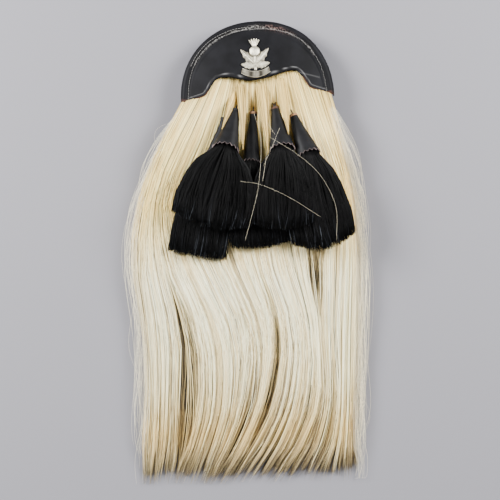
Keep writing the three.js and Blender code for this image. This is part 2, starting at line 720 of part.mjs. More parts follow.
const pouchBlock = slab(pouchOutline(-2 * GAP), FLOOR - LEATHER, HAIR_FOOT);
const hairTools = [pouchBlock, ...coneRoom];
hairTools.push(...[cantleBody, ...skirts, ...thongs].map((piece) => swollen(piece)));
addPiece('horsehair', horsehair(hairTools), 'creamHair');

export default part;
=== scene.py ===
import bpy
import numpy as np
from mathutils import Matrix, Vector


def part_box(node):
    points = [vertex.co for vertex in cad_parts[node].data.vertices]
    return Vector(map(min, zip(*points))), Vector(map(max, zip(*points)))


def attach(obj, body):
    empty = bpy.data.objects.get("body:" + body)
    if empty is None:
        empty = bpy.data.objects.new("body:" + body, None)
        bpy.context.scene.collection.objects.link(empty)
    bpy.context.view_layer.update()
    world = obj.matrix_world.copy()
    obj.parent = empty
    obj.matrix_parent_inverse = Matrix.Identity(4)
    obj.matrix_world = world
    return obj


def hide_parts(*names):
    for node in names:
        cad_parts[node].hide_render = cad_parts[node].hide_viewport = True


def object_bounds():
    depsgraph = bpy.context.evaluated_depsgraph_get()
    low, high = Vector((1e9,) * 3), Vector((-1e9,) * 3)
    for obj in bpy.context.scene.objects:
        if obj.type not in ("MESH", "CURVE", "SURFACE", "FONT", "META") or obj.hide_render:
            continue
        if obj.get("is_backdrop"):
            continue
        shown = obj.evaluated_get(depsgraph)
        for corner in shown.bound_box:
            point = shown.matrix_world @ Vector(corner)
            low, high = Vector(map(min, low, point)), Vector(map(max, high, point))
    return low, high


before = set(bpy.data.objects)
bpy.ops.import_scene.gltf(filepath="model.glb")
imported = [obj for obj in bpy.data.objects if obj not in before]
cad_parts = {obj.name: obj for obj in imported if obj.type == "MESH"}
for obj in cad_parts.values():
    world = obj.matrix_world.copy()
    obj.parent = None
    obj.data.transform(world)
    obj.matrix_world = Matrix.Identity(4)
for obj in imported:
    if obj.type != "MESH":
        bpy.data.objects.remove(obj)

cad_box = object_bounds()

# The pouch is black leather: a back and a front panel with a narrow wall between them, glued and
# saddle stitched round the edge. Two leather loops on the back carry the waist strap.
MM = 0.001


def linear(hex_colour):
    """The sRGB hex colour as linear red, green and blue, with an alpha of 1."""
    parts = np.array([int(hex_colour[i:i + 2], 16) for i in (0, 2, 4)]) / 255
    return [*np.where(parts < 0.04045, parts / 12.92, ((parts + 0.055) / 1.055) ** 2.4), 1.0]


def add_node(material, kind, inputs=None, **settings):
    """Adds one shader node. An input that comes from another node is linked, others are set."""
    node = material.node_tree.nodes.new(kind)
    for name, value in settings.items():
        setattr(node, name, value)
    for name, value in (inputs or {}).items():
        if isinstance(value, bpy.types.NodeSocket):
            material.node_tree.links.new(value, node.inputs[name])
        else:
            node.inputs[name].default_value = value
    return node


def new_material(name):
    material = bpy.data.materials.new(name)
    material.use_nodes = True
    material.node_tree.nodes.clear()
    return material


def coloured(material, share, stops):
    """The colour that a ramp with (place, hex colour) stops has at a share."""
    ramp = add_node(material, "ShaderNodeValToRGB", {"Fac": share})
    elements = ramp.color_ramp.elements
    while len(elements) < len(stops):
        elements.new(0.5)
    for element, (place, colour) in zip(elements, stops):
        element.position = place
        element.color = linear(colour)
    return ramp.outputs["Color"]


def pattern(material, kind, pitch, output="Fac", **constants):
    """A noise or Voronoi texture laid out in the object's space, at a pitch in millimetres."""
    place = add_node(material, "ShaderNodeTexCoord").outputs["Object"]
    inputs = {"Vector": place, "Scale": 1 / MM / pitch, **constants}
    return add_node(material, f"ShaderNodeTex{kind}", inputs).outputs[output]


def bumps(material, height, strength, distance):
    """Bumps that rise with the height, by up to the distance in millimetres."""
    inputs = {"Height": height, "Strength": strength, "Distance": distance * MM}
    return add_node(material, "ShaderNodeBump", inputs).outputs[0]


def finish_surface(material, colour, roughness, bump=None, specular=0.5, metallic=0.0):
    """Ends a material with a Principled shader."""
    inputs = {"Base Color": colour, "Roughness": roughness}
    inputs |= {"Specular IOR Level": specular, "Metallic": metallic}
    if bump is not None:
        inputs["Normal"] = bump
    shader = add_node(material, "ShaderNodeBsdfPrincipled", inputs)
    add_node(material, "ShaderNodeOutputMaterial", {"Surface": shader.outputs[0]})
    return material


def coat(piece, material):
    piece.data.materials.clear()
    piece.data.materials.append(material)


# Cowhide dyed black and waxed: pores about 1.2 mm apart, and a soft broken shine from handling.
PORE_PITCH = 1.2
PORE_DEPTH = 0.2
HANDLING_PITCH = 22.0
LEATHER_BLACK = "1d1d20"
LEATHER_GREY = "333338"


def waxed_cowhide(name, dark=LEATHER_BLACK, light=LEATHER_GREY):
    material = new_material(name)
    clouds = pattern(material, "Noise", HANDLING_PITCH, Detail=5.0)
    pores = pattern(material, "Voronoi", PORE_PITCH, "Distance")
    tone = coloured(material, clouds, [(0.35, dark), (0.75, light)])
    inputs = {"Value": clouds, "To Min": 0.32, "To Max": 0.52}
    shine = add_node(material, "ShaderNodeMapRange", inputs).outputs[0]
    grain = bumps(material, pores, 0.25, PORE_DEPTH)
    return finish_surface(material, tone, shine, grain)


black_cowhide = waxed_cowhide("black_waxed_cowhide")
for node in ("back_panel", "gusset", "front_panel", "strap_loop_left", "strap_loop_right"):
    coat(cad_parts[node], black_cowhide)

# The fall is several thousand white horse hairs, combed straight and sewn to the front panel. They
# lie in locks that part lower down, and end in thin ragged tips that let the table show through.
PART = "root"
chance = np.random.default_rng(7)


def shaped(name, points, faces, smooth=True):
    """A mesh object from points in millimetres and an array of faces with equal corner counts."""
    mesh = bpy.data.meshes.new(name)
    flat = np.ascontiguousarray(points, dtype=np.float32).reshape(-1, 3) * MM
    mesh.vertices.add(len(flat))
    mesh.vertices.foreach_set("co", flat.ravel())
    count, corners = faces.shape
    mesh.loops.add(count * corners)
    mesh.loops.foreach_set("vertex_index", faces.astype(np.int32).ravel())
    mesh.polygons.add(count)
    mesh.polygons.foreach_set("loop_start", np.arange(count, dtype=np.int32) * corners)
    mesh.polygons.foreach_set("use_smooth", np.full(count, smooth))
    mesh.update(calc_edges=True)
    piece = bpy.data.objects.new(name, mesh)
    bpy.context.scene.collection.objects.link(piece)
    return piece


def paint(piece, name, values):
    """Stores one number per point as an attribute that a material can read."""
    attribute = piece.data.attributes.new(name, "FLOAT", "POINT")
    attribute.data.foreach_set("value", np.ascontiguousarray(values, dtype=np.float32).ravel())


def painted(material, name):
    """The number that is stored under the name at each point of the piece."""
    return add_node(material, "ShaderNodeAttribute", attribute_name=name).outputs["Fac"]


def mixed(material, share, under, over, blend="MIX"):
    """One colour laid over another by a share, from not at all at 0 to fully at 1."""
    inputs = {0: share, 6: under, 7: over}
    mix = add_node(material, "ShaderNodeMix", inputs, data_type="RGBA", blend_type=blend)
    return mix.outputs[2]


def plain(name, colour, roughness, specular):
    """A material of one even colour."""
    return finish_surface(new_material(name), linear(colour), roughness, specular=specular)


def dress(piece, material, slot, *nodes):
    """Gives a piece its material, has it ride on the part, and stand for CAD nodes. The slot is not
    used.
    """
    coat(piece, material)
    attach(piece, PART)
    if nodes:
        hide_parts(*nodes)


def unit(vectors):
    return vectors / np.maximum(np.linalg.norm(vectors, axis=-1, keepdims=True), 1e-9)


def ranges(rows, columns):
    """Two arrays over a grid, from a (from, to, count) range down its rows and one across them."""
    return np.meshgrid(np.linspace(*rows), np.linspace(*columns), indexing="ij")


def grid_quads(rows, columns, round_rows=False, round_columns=False):
    """Corner numbers of the quads of a grid of points: the point at a row and column, then the
    next row's, the next of both, and the next column's. A grid that goes round has its last row
    or column joined to its first."""
    r, c = np.meshgrid(
        np.arange(rows - 1 + round_rows), np.arange(columns - 1 + round_columns), indexing="ij"
    )
    below, beside = (r + 1) % rows, (c + 1) % columns
    pairs = [(r, c), (below, c), (below, beside), (r, beside)]
    return np.stack([row * columns + column for row, column in pairs], axis=-1).reshape(-1, 4)


def threads(name, paths, half_widths, sides=3):
    """Every path becomes a closed thread. Round each point of it stands a ring: the point, plus
    the half width there times the cosine and sine of equal angles, along two directions square to
    the path. Quads split in two join the rings, and a fan closes each end."""
    count, steps = paths.shape[:2]
    ahead = unit(np.gradient(paths, axis=1))
    aside = unit(np.cross(ahead, [0, 0, 1.0]))
    above = np.cross(aside, ahead)
    turn = 2 * np.pi * np.arange(sides) / sides
    reach = np.broadcast_to(half_widths, (count, steps))[..., None, None]
    rings = paths[:, :, None] + reach * (
        np.cos(turn)[:, None] * aside[:, :, None] + np.sin(turn)[:, None] * above[:, :, None]
    )
    walls = grid_quads(steps, sides, round_columns=True)[:, [0, 1, 2, 0, 2, 3]].reshape(-1, 3)
    fan = np.stack([np.zeros(sides - 2), np.arange(1, sides - 1), np.arange(2, sides)], axis=-1)
    last = (steps - 1) * sides
    one = np.concatenate([walls, fan, last + fan[:, ::-1]]).astype(np.int64)
    faces = one[None] + (np.arange(count) * steps * sides)[:, None, None]
    return shaped(name, rings, faces.reshape(-1, 3))


def hump(value, middle, reach):
    """A bell curve: 1 at the middle, fading to nothing within about twice the reach."""
    return np.exp(-(((value - middle) / reach) ** 2))


def rising(value, start, span):
    """0 up to the start, 1 from the end of the span on, and a straight slope between them."""
    return np.clip((value - start) / span, 0, 1)


FLOOR = cad_box[0][2] / MM
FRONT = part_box("front_panel")[1][2] / MM
# The fall's course, from its root down: Y and the height of its outer face at each station.
STATIONS = {
    "y": [0, -55, -110, -180, -265, -345, -395, -421, -447],
    "top": [19, 22.5, 21.5, 18.5, 13, 9, 4.5, 0, -3],
}
# Lines down the fall, left to right: Y of the root, then X at each station but the last.
LINES = [
    (0.5, [-87.5, -121, -146, -158, -149, -151, -158, -160]),
    (2.2, [-80, -112, -134, -146, -142, -143, -149, -152]),
    (4.2, [-71, -106, -129, -138, -129, -131, -136, -141]),
    (6.5, [-62, -99, -122, -125, -108, -114, -120, -126]),
    (16, [-53, -92, -116, -112, -90, -91, -102, -113]),
    (26, [-45, -84, -110, -100, -70, -70, -85, -96]),
    (30, [-38, -76, -102, -86, -53, -54, -69, -80]),
    (30, [-32, -66, -88, -66, -36, -42, -60, -74]),
    (28, [-24, -40, -54, -42, -13, -21, -43, -59]),
    (26, [-14, -21, -27, -22, 3, -12, -36, -53]),
    (24, [-2, -4, -4, -4, 15, 3, -21, -38]),
    (26, [10, 10, 9, 12, 34, 25, 4, -13]),
    (28, [21, 24, 25, 28, 46, 41, 23, 5]),
    (31, [32, 41, 46, 47, 54, 52, 32, 15]),
    (33, [42, 63, 74, 67, 64, 64, 50, 35]),
    (31, [50, 73.5, 88.5, 86.5, 78, 76, 67, 56]),
    (12.5, [61, 81.5, 95.5, 95, 87, 81, 76, 70]),
    (5, [75, 91.5, 101.5, 102.5, 96, 89.5, 85, 83.5]),
    (1, [87, 101, 108, 109, 104, 97, 92.5, 94]),
]
LAST_LINE = len(LINES) - 1
# How much lower the right side hangs, and the share of the way down of the last measured X.
TIP_TILT = 8.7
TIP_SHARE = 1 - 1 / (len(STATIONS["y"]) - 1)
# Partings: the line number halfway across, how many lines the hair is drawn apart, how deep they
# are in millimetres, and the Y they span.
PARTINGS = [
    {"line": 3.6, "open": 0.46, "sunk": 9, "from": -205, "to": -415},
    {"line": 9.5, "open": 0.23, "sunk": 10, "from": -230, "to": -400},
    {"line": 13.5, "open": 0.42, "sunk": 14, "from": -160, "to": -245},
    {"line": 12.4, "open": 0.2, "sunk": 5, "from": -300, "to": -430},
    {"line": 14.6, "open": 0.2, "sunk": 5, "from": -290, "to": -430},
    {"line": 7.6, "open": 0.22, "sunk": 5, "from": -290, "to": -430},
]
# Across a parting, in lines: its sharp middle, the reach of its hollow, and that of its push.
PARTING_MIDDLE, HOLLOW_REACH, PUSH_REACH = 0.04, 0.3, 0.55


def smooth_through(knots, share):
    """A smooth line through evenly numbered knots, share 0 at the first and 1 at the last: the
    cubic whose slope at each knot is half the difference between the knots on either side."""
    knots = np.asarray(knots, dtype=float)
    place = np.clip(share, 0, 1) * (len(knots) - 1)
    i = np.minimum(place.astype(int), len(knots) - 2)
    f = (place - i).reshape(place.shape + (1,) * (knots.ndim - 1))
    slope = np.gradient(knots, axis=0)
    return (
        (2 * f**3 - 3 * f**2 + 1) * knots[i] + (f**3 - 2 * f**2 + f) * slope[i]
        + (3 * f**2 - 2 * f**3) * knots[i + 1] + (f**3 - f**2) * slope[i + 1]
    )


def fall_table(steps=161):
    """X and Y of every line at even shares down the fall, as an array of lines by steps by 2."""
    x = np.array([[*row, 2 * row[-1] - row[-2]] for _, row in LINES])
    drop = TIP_TILT * np.arange(len(LINES)) / LAST_LINE
    y = np.tile(np.array(STATIONS["y"], dtype=float), (len(LINES), 1)) - drop[:, None]
    y[:, 0] = [root for root, _ in LINES]
    knots = np.stack([x, y], axis=-1).transpose(1, 0, 2)
    return smooth_through(knots, np.linspace(0, 1, steps)).transpose(1, 0, 2)


FALL = fall_table()
MM_PER_LINE_OUTSIDE = 6.0
EDGE_HEIGHT = 2.5
ROOT_BOW, FULL_BOW_AT = 0.6, 0.2


def on_fall(line, share):
    """The point of the fall's outer face at a line number and a share of the way down, by
    straight interpolation in the table. The face bows down to both sides, less so at the root."""
    line, share = np.broadcast_arrays(line, share)
    u = np.clip(line, 0, LAST_LINE)
    i = np.minimum(u.astype(int), LAST_LINE - 1)
    v = np.clip(share, 0, 1) * (FALL.shape[1] - 1)
    k = np.minimum(v.astype(int), FALL.shape[1] - 2)
    f, g = (u - i)[..., None], (v - k)[..., None]
    place = (1 - f) * ((1 - g) * FALL[i, k] + g * FALL[i, k + 1])
    place = place + f * ((1 - g) * FALL[i + 1, k] + g * FALL[i + 1, k + 1])
    outside = (line - u)[..., None] * [MM_PER_LINE_OUTSIDE, 0.0]
    top = smooth_through(np.array(STATIONS["top"])[:, None], share)[..., 0]
    bow = ROOT_BOW + (1 - ROOT_BOW) * rising(share, 0, FULL_BOW_AT)
    across = np.abs(2 * u / LAST_LINE - 1) * bow
    low = FLOOR + EDGE_HEIGHT
    height = low + (top - low) * np.sqrt(1 - across**4)
    return np.concatenate([place + outside, height[..., None]], axis=-1)


def parted(line, share):
    """The line numbers, drawn apart at the partings, and how deep each point is sunk. The push is
    strongest beside the middle of a parting and fades to both sides. Along the parting it swells
    and fades as the root of half a sine wave."""
    y = np.interp(share, np.linspace(0, 1, len(STATIONS["y"])), STATIONS["y"])
    moved, sunk = line.copy(), np.zeros_like(line)
    for parting in PARTINGS:
        along = np.clip((y - parting["from"]) / (parting["to"] - parting["from"]), 0, 1)
        swell = np.sqrt(np.sin(np.pi * along))
        off = line - parting["line"]
        push = np.tanh(off / PARTING_MIDDLE) * parting["open"]
        moved += push * swell * hump(off, 0, PUSH_REACH)
        sunk += parting["sunk"] * swell * hump(off, 0, HOLLOW_REACH)
    return moved, sunk


HAIR_STEPS = 14
HAIR_HALF_WIDTH = 0.36
# The fall hangs in locks, side by side. Each draws together lower down, so thin partings open.
LOCKS = 40
lock_bounds = np.cumsum(chance.uniform(0.55, 1.45, LOCKS + 1))
lock_bounds = (lock_bounds - lock_bounds[0]) / (lock_bounds[-1] - lock_bounds[0]) * LAST_LINE
lock_middle = (lock_bounds[1:] + lock_bounds[:-1]) / 2
lock_half = np.diff(lock_bounds) / 2
lock_tone = chance.normal(0, 0.05, LOCKS)
lock_pinch = chance.choice([0.05, 0.18, 0.4], LOCKS, p=[0.4, 0.35, 0.25])
lock_end = chance.uniform(-0.018, 0.018, LOCKS)
lock_bend = chance.normal(0, 1.3, LOCKS)
lock_lift = chance.uniform(-1.2, 1.8, LOCKS)
# Within the locks, strands of a few hairs each cling together and share their tone and height.
STRANDS = 300
strand_tone = chance.normal(0, 0.15, STRANDS)
strand_lift = chance.normal(0, 0.5, STRANDS)

# The pouch under the hair, in plan: two discs, and the strip between them where its half width
# narrows evenly. The hair drapes over its edge.
POUCH_RADIUS, POUCH_FOOT_RADIUS, POUCH_FOOT_Y = 87, 62, -76
STRIP = {"y": [-96.4, -28.6], "half": [58.6, 82.2]}
FAR_OUTSIDE = -99
POUCH_MARGIN, DRAPE_REACH = 1.5, 13.0
OVER_TABLE, OVER_PANEL = 0.6, 0.8


def hair_seat(points):
    """The height that hair rests on: the pouch's front over the pouch, and the table away from it.
    Beyond the pouch's edge it falls as a quarter circle."""
    x, y = points[..., 0], points[..., 1]
    strip_foot, strip_top = STRIP["y"]
    upper = np.where(y > strip_top, POUCH_RADIUS - np.hypot(x, y), FAR_OUTSIDE)
    lower = POUCH_FOOT_RADIUS - np.hypot(x, y - POUCH_FOOT_Y)
    strip = np.interp(y, STRIP["y"], STRIP["half"]) - np.abs(x)
    strip = np.where((y > strip_foot) & (y < strip_top), strip, FAR_OUTSIDE)
    inside = np.maximum(np.maximum(upper, lower), strip) + POUCH_MARGIN
    share = np.clip(1 + inside / DRAPE_REACH, 0, 1)
    table, panel = FLOOR + OVER_TABLE, FRONT + OVER_PANEL
    return table + (panel - table) * np.sqrt(1 - (1 - share) ** 2)


# Where hairs end, in shares of the way down: past the last measured X, give or take a ragged
# spread, and further on the right. Some hairs are short, and thin wisps run on past the rest.
THIN_EDGE, EDGE_THINNING = 1.0, 0.5
END_PAST, END_RAGGED, RIGHT_LONGER = 0.056, 0.05, 0.018
SHORT_HAIRS, SHORTEST = 0.14, 0.8
WISPS, WISP_PAST, WISP_WIDTH = 0.16, (0.02, 0.122), 0.6


def places_in_locks(size):
    """The lock of each hair, its own place across it from -1 to 1, and its strand. The fall is
    thin at its right edge: half of the hairs that would start there start elsewhere."""
    start = chance.uniform(0, LAST_LINE, size)
    inside = chance.uniform(0, LAST_LINE - THIN_EDGE, size)
    thinned = (start > LAST_LINE - THIN_EDGE) & (chance.random(size) < EDGE_THINNING)
    of = np.searchsorted(lock_bounds[1:-1], np.where(thinned, inside, start))
    own = chance.uniform(-1, 1, size)
    root_share = np.clip((lock_middle[of] + lock_half[of] * own) / LAST_LINE, 0, 0.999)
    return of, own, (root_share * STRANDS).astype(int)


def hair_ends(of):
    """How far down each hair ends, and whether it is a wisp."""
    size = of.shape
    end = TIP_SHARE + lock_end[of] + END_PAST - np.abs(chance.normal(0, END_RAGGED, size))
    end = end + RIGHT_LONGER * lock_middle[of] / LAST_LINE
    short = chance.random(size) < SHORT_HAIRS
    end = np.where(short, end * chance.uniform(SHORTEST, 1, size), end)
    wisp = chance.random(size) < WISPS
    return np.where(wisp, TIP_SHARE + chance.uniform(*WISP_PAST, size), end), wisp


# How hairs lie. Their points crowd a little towards the root. A lock overlaps its neighbours
# until it draws together in its late part, and a few hairs cross the partings.
ROOT_CROWDING = 0.85
LATE_FROM, LATE_SPAN = 0.42, 0.25
OVERLAP, SPILL = 0.12, 0.3
CROSSING_HAIRS, CROSSING_DRIFT = 0.045, 0.45
LOCK_WAVE, LONG_WAVE, SHORT_WAVE = 4, 5.5, 13
WAVY_HAIRS, WAVE_SIZES = 0.2, (1.6, 0.55)
LOCK_BULGE, LATE_BULGE, HOLLOW_SHARE = 0.8, 1.5, 0.6
SEAT_ROOM, TIP_DROP = 2.5, 2
# What lightens and darkens a hair's tone, which runs from 0 to 1. The terms for depth, the
# partings, the root and the sides of locks are painted shade: darker deeper under the outer face,
# in the partings, at the root under the cantle's edge, and at the sides of locks low down where
# they part.
BROWN_HAIRS = 0.15
TONE = {
    "base": 0.97, "strand": 0.85, "late_strand": 0.75, "own": 0.17, "brown": 0.42, "depth": 0.03,
    "root": 0.14, "middle": 0.09, "lower": 0.15, "tips": 0.2, "sunk": 0.035, "lock_side_shade": 0.14,
    "wave": 0.04,
}


def long_hairs(count, layer_depth, shade_of_layer):
    """Paths, half widths and tones of hairs that lie in locks, and how far down their points are.
    A hair's line number is its lock's middle plus its own place in the lock. Slow sine waves bend
    it, and its depth under the outer face is random within the layer."""
    size = (count, 1)
    of, own, strand = places_in_locks(size)
    end, wisp = hair_ends(of)
    share = end * np.linspace(0, 1, HAIR_STEPS) ** ROOT_CROWDING
    late = rising(share, LATE_FROM, LATE_SPAN)
    place = own * (1 + OVERLAP - late * (OVERLAP + lock_pinch[of]))
    line = np.clip(lock_middle[of] + lock_half[of] * place, -SPILL, LAST_LINE + SPILL)
    apart, sunk = parted(line, share)
    crossing = chance.random(size) < CROSSING_HAIRS
    drift = chance.normal(0, CROSSING_DRIFT, size) * share
    paths = on_fall(np.where(crossing, line + drift, apart), share)
    phase = chance.uniform(0, 2 * np.pi, (3, *size))
    loose = np.clip(share * 1.6, 0, 1)
    wave = np.where(chance.random(size) < WAVY_HAIRS, *WAVE_SIZES)
    bend = lock_bend[of] * np.sin(LOCK_WAVE * share + of)
    bend = bend + wave * np.sin(LONG_WAVE * share + phase[1])
    paths[..., 0] += loose * (bend + 0.4 * wave * np.sin(SHORT_WAVE * share + phase[2]))
    depth = chance.random(size) ** 0.8 * layer_depth
    bulge = (LOCK_BULGE + LATE_BULGE * late) * (1 - own**2)
    lift = (strand_lift[strand] + lock_lift[of]) * loose
    towards_tip = share / end
    room = chance.uniform(0, SEAT_ROOM, size) * loose
    paths[..., 2] += bulge + lift - depth - HOLLOW_SHARE * sunk
    paths[..., 2] -= TIP_DROP * rising(towards_tip, 0.9, 0.1)
    paths[..., 2] = np.maximum(paths[..., 2], hair_seat(paths) + room)
    width = HAIR_HALF_WIDTH * chance.uniform(0.7, 1.25, size) * np.where(wisp, WISP_WIDTH, 1)
    width = width * (1 - 0.8 * rising(towards_tip, 0.8, 0.2))
    tone = TONE["base"] + shade_of_layer + lock_tone[of]
    tone = tone + strand_tone[strand] * (TONE["strand"] + TONE["late_strand"] * late)
    tone = tone - np.abs(chance.normal(0, TONE["own"], size))
    tone = tone - TONE["brown"] * (chance.random(size) < BROWN_HAIRS)
    # Painted shade: darker deeper under the outer face, and in the partings.
    tone = tone - TONE["depth"] * depth - TONE["sunk"] * sunk
    # Painted shade at the root, under the cantle's edge.
    tone = tone - TONE["root"] * np.exp(-share / 0.03) + TONE["middle"] * hump(share, 0.5, 0.12)
    tone = tone - TONE["lower"] * rising(share, 0.55, 0.22)
    # Tan tips, and painted shade at the sides of the locks low down.
    tone = tone - TONE["tips"] * rising(share, 0.76, 0.12) - TONE["lock_side_shade"] * late * own**4
    tone = tone + TONE["wave"] * np.sin(9 * share + phase[0])
    return paths, width, np.clip(tone, 0, 1), share


# White horsehair, washed but not bleached: cream with brown hairs mixed in, smooth and faintly
# glossy like horn. It is yellow near the root, whitest half way, and tan at the tips.
HAIR_STOPS = [(0.0, "38322a"), (0.3, "8c7e63"), (0.55, "d3c192"), (0.78, "f6e5b1"), (1.0, "fffddc")]
YELLOWING = [
    (0.0, "fff3cc"), (0.12, "fdefc0"), (0.27, "f8e5ac"), (0.42, "ffffff"), (0.6, "fffcf4"),
    (0.72, "f8e8c6"), (0.82, "fbf0dc"), (0.9, "fff8ec"),
]


def white_horsehair(name, stops):
    """Hair whose tone attribute picks the colour, tinted by how far down the fall it lies."""
    material = new_material(name)
    colour = coloured(material, painted(material, "tone"), stops)
    tint = coloured(material, painted(material, "down"), YELLOWING)
    tinted = mixed(material, 1.0, colour, tint, "MULTIPLY")
    return finish_surface(material, tinted, 0.42, specular=0.45)


cream_hair = white_horsehair("washed_white_horsehair", HAIR_STOPS)
# Each layer's tone is shifted as painted shade: darker deeper in the fall, lighter at the surface.
LAYERS = [
    {"name": "horsehair_under", "hairs": 900, "depth": 9, "layer_shade": -0.1},
    {"name": "horsehair_inner", "hairs": 1350, "depth": 6, "layer_shade": -0.03},
    {"name": "horsehair_outer", "hairs": 1950, "depth": 3.5, "layer_shade": 0.02},
    {"name": "horsehair_surface", "hairs": 2150, "depth": 1.5, "layer_shade": 0.05},
]


def cream_threads(name, paths, half_widths, tones, down):
    """One piece of the fall: threads painted with their tones and how far down they lie."""
    hairs = threads(name, paths, half_widths)
    paint(hairs, "tone", np.repeat(tones, 3))
    paint(hairs, "down", np.repeat(down + 0 * tones, 3))
    dress(hairs, cream_hair, "cream_hair", "horsehair")


for layer in LAYERS:
    cream_threads(layer["name"], *long_hairs(layer["hairs"], layer["depth"], layer["layer_shade"]))


def closed_sheets(name, pairs):
    """Closed bodies, each between two grids of the same size: quads over the upper one, quads the
    other way round under the lower one, and a strip of quads round their common border."""
    points, faces, first = [], [], 0
    for upper, lower in pairs:
        rows, columns = upper.shape[:2]
        cells = grid_quads(rows, columns)
        low = rows * columns
        number = np.arange(low).reshape(rows, columns)
        border = np.concatenate([
            number[0, :-1], number[:-1, -1], number[-1, :0:-1], number[:0:-1, 0]
        ])
        onward = np.roll(border, -1)
        strip = np.stack([border, onward, onward + low, border + low], axis=-1)
        faces.append(np.concatenate([cells, cells[:, ::-1] + low, strip]) + first)
        points += [upper.reshape(-1, 3), lower.reshape(-1, 3)]
        first += 2 * low
    return shaped(name, np.concatenate(points), np.concatenate(faces))


# The imported middle of the fall: the hairs that are never seen one by one. Its dark brown is
# painted shade, which shows through the gaps between the hairs over it.
CORE_SHADE_COLOURS = [(0.0, "221c14"), (0.5, "655841"), (1.0, "ac9a76")]
CORE_DEPTH, CORE_HOLLOW, CORE_SINK, OFF_TABLE, THINNEST = 4.5, 0.75, 3.0, 0.2, 0.3
core_shares, core_lines = ranges((0, TIP_SHARE - 0.1, 60), (0.4, LAST_LINE - THIN_EDGE, 145))
core_top = on_fall(core_lines, core_shares)
core_sunk = parted(core_lines, core_shares)[1]
core_top[..., 2] -= CORE_DEPTH + CORE_HOLLOW * core_sunk
core_seat = np.maximum(hair_seat(core_top) - CORE_SINK, FLOOR + OFF_TABLE)
core_top[..., 2] = np.maximum(core_top[..., 2], core_seat + THINNEST)
core_low = core_top.copy()
core_low[..., 2] = core_seat
core = closed_sheets("horsehair_core", [(core_top, core_low)])
streaks = 0.42 + 0.2 * np.sin(core_lines * 31) + 0.2 * np.sin(core_lines * 57 + core_shares * 3)
# Painted shade, deeper in the partings.
core_tone = np.clip(streaks - 0.09 * core_sunk, 0, 1)
paint(core, "tone", [core_tone, core_tone])
paint(core, "down", [core_shares, core_shares])
dress(core, white_horsehair("shaded_horsehair", CORE_SHADE_COLOURS), "cream_hair", "horsehair")

# Single hairs have come loose at both edges of the fall and stand off it in wide shallow arcs.
FLYAWAYS, RIGHT_FLYAWAYS = 340, 0.75
FLYAWAY_HALF_WIDTH = 0.17
STANDS_OFF, DRIFTS_OFF = 15.0, 0.7
FLYAWAY_LIFT, OVER_FLOOR = 3, 0.5
LOWEST_SHARE = 0.985
# How far a hair may reach past the sides of the CAD model.
SIDE_ROOM = 16


def edge_flyaways(count):
    """Hairs that leave an edge of the fall somewhere down it. The distance from the edge grows as
    half a sine wave, plus a steady drift outwards for those that don't come back."""
    size = (count, 1)
    right = chance.random(size) < RIGHT_FLYAWAYS
    outwards = np.where(right, 1.0, -1.0)
    inwards = chance.uniform(-0.2, 0.7, size)
    line = np.where(right, LAST_LINE - inwards, inwards)
    start = chance.uniform(0.02, 0.62, size)
    reach = chance.uniform(0.12, 0.5, size)
    run = np.linspace(0, 1, HAIR_STEPS)
    share = np.minimum(start + reach * run, LOWEST_SHARE)
    paths = on_fall(line, share)
    arch = STANDS_OFF * chance.random(size) ** 1.5
    drift = DRIFTS_OFF * STANDS_OFF * chance.random(size) ** 2
    curl = chance.normal(0, 1.5, size) * np.sin(7 * run + chance.uniform(0, 6, size))
    paths[..., 0] += outwards * (arch * np.sin(np.pi * run) + drift * run**2) + curl * run
    low, high = cad_box[0][0] / MM - SIDE_ROOM, cad_box[1][0] / MM + SIDE_ROOM
    paths[..., 0] = np.clip(paths[..., 0], low, high)
    lifted = paths[..., 2] + FLYAWAY_LIFT * np.sin(np.pi * run)
    paths[..., 2] = np.maximum(lifted, FLOOR + OVER_FLOOR)
    return paths, FLYAWAY_HALF_WIDTH * chance.uniform(0.6, 1.2, size) * (1 - 0.5 * run)


# Loose white hairs that cross the tassels: the points that each passes through.
STRAYS = [
    [(11, -48, 52), (43, -71, 55), (68, -97, 52), (83, -132, 45), (82, -171, 40)],
    [(-24, -97, 52), (0, -103, 55), (32, -120, 55), (65, -143, 48)],
    [(-4, -20, 40), (2, -51, 44), (-4, -103, 50), (-15, -141, 51), (-23, -165, 46)],
    [(9, -60, 46), (5, -80, 50), (1, -98, 51)],
    [(24, -39, 53), (15, -58, 54), (3, -81, 48)],
    [(9, -30, 47), (18, -46, 53)],
    [(106, -65, 8), (116, -95, 9), (123, -131, 9), (124, -172, 8), (117, -219, 5)],
    [(-100, -20, 8), (-118, -28, 10), (-122, -40, 8), (-118, -52, 6)],
    [(-38, -30, 34), (-36, -40, 40), (-34, -47, 42)],
]
STRAY_HALF_WIDTH = 0.08
stray_run = np.linspace(0, 1, 2 * HAIR_STEPS)
stray_paths = np.stack([smooth_through(points, stray_run) for points in STRAYS])
loose_hair = plain("single_white_horsehair", "f0e6c9", 0.42, 0.45)
flyaways = threads("horsehair_flyaways", *edge_flyaways(FLYAWAYS))
strays = threads("horsehair_strays", stray_paths, STRAY_HALF_WIDTH)
for piece in (flyaways, strays):
    dress(piece, loose_hair, "cream_hair", "horsehair")

# Between the tassels, short locks of the same hair come forward over the sides of the leather
# cones, and each runs out to a point. One row each: its root, where it is widest, and its point.
FORELOCKS = [
    {"root": (-24, 10, 20), "wide": (-31.5, -11, 33), "point": (-42, -36, 43), "half": 4.2},
    {"root": (-17.5, 18, 21), "wide": (-17, -9, 34), "point": (-19.3, -61, 47), "half": 5.8},
    {"root": (6, 18, 21), "wide": (7.5, -12, 35), "point": (9.5, -65, 50), "half": 6.8},
    {"root": (30, 22, 21), "wide": (32, -10, 34), "point": (34, -47, 48), "half": 5.6},
]
FORELOCK_HAIRS, FORELOCK_SHARE = 120, 0.15


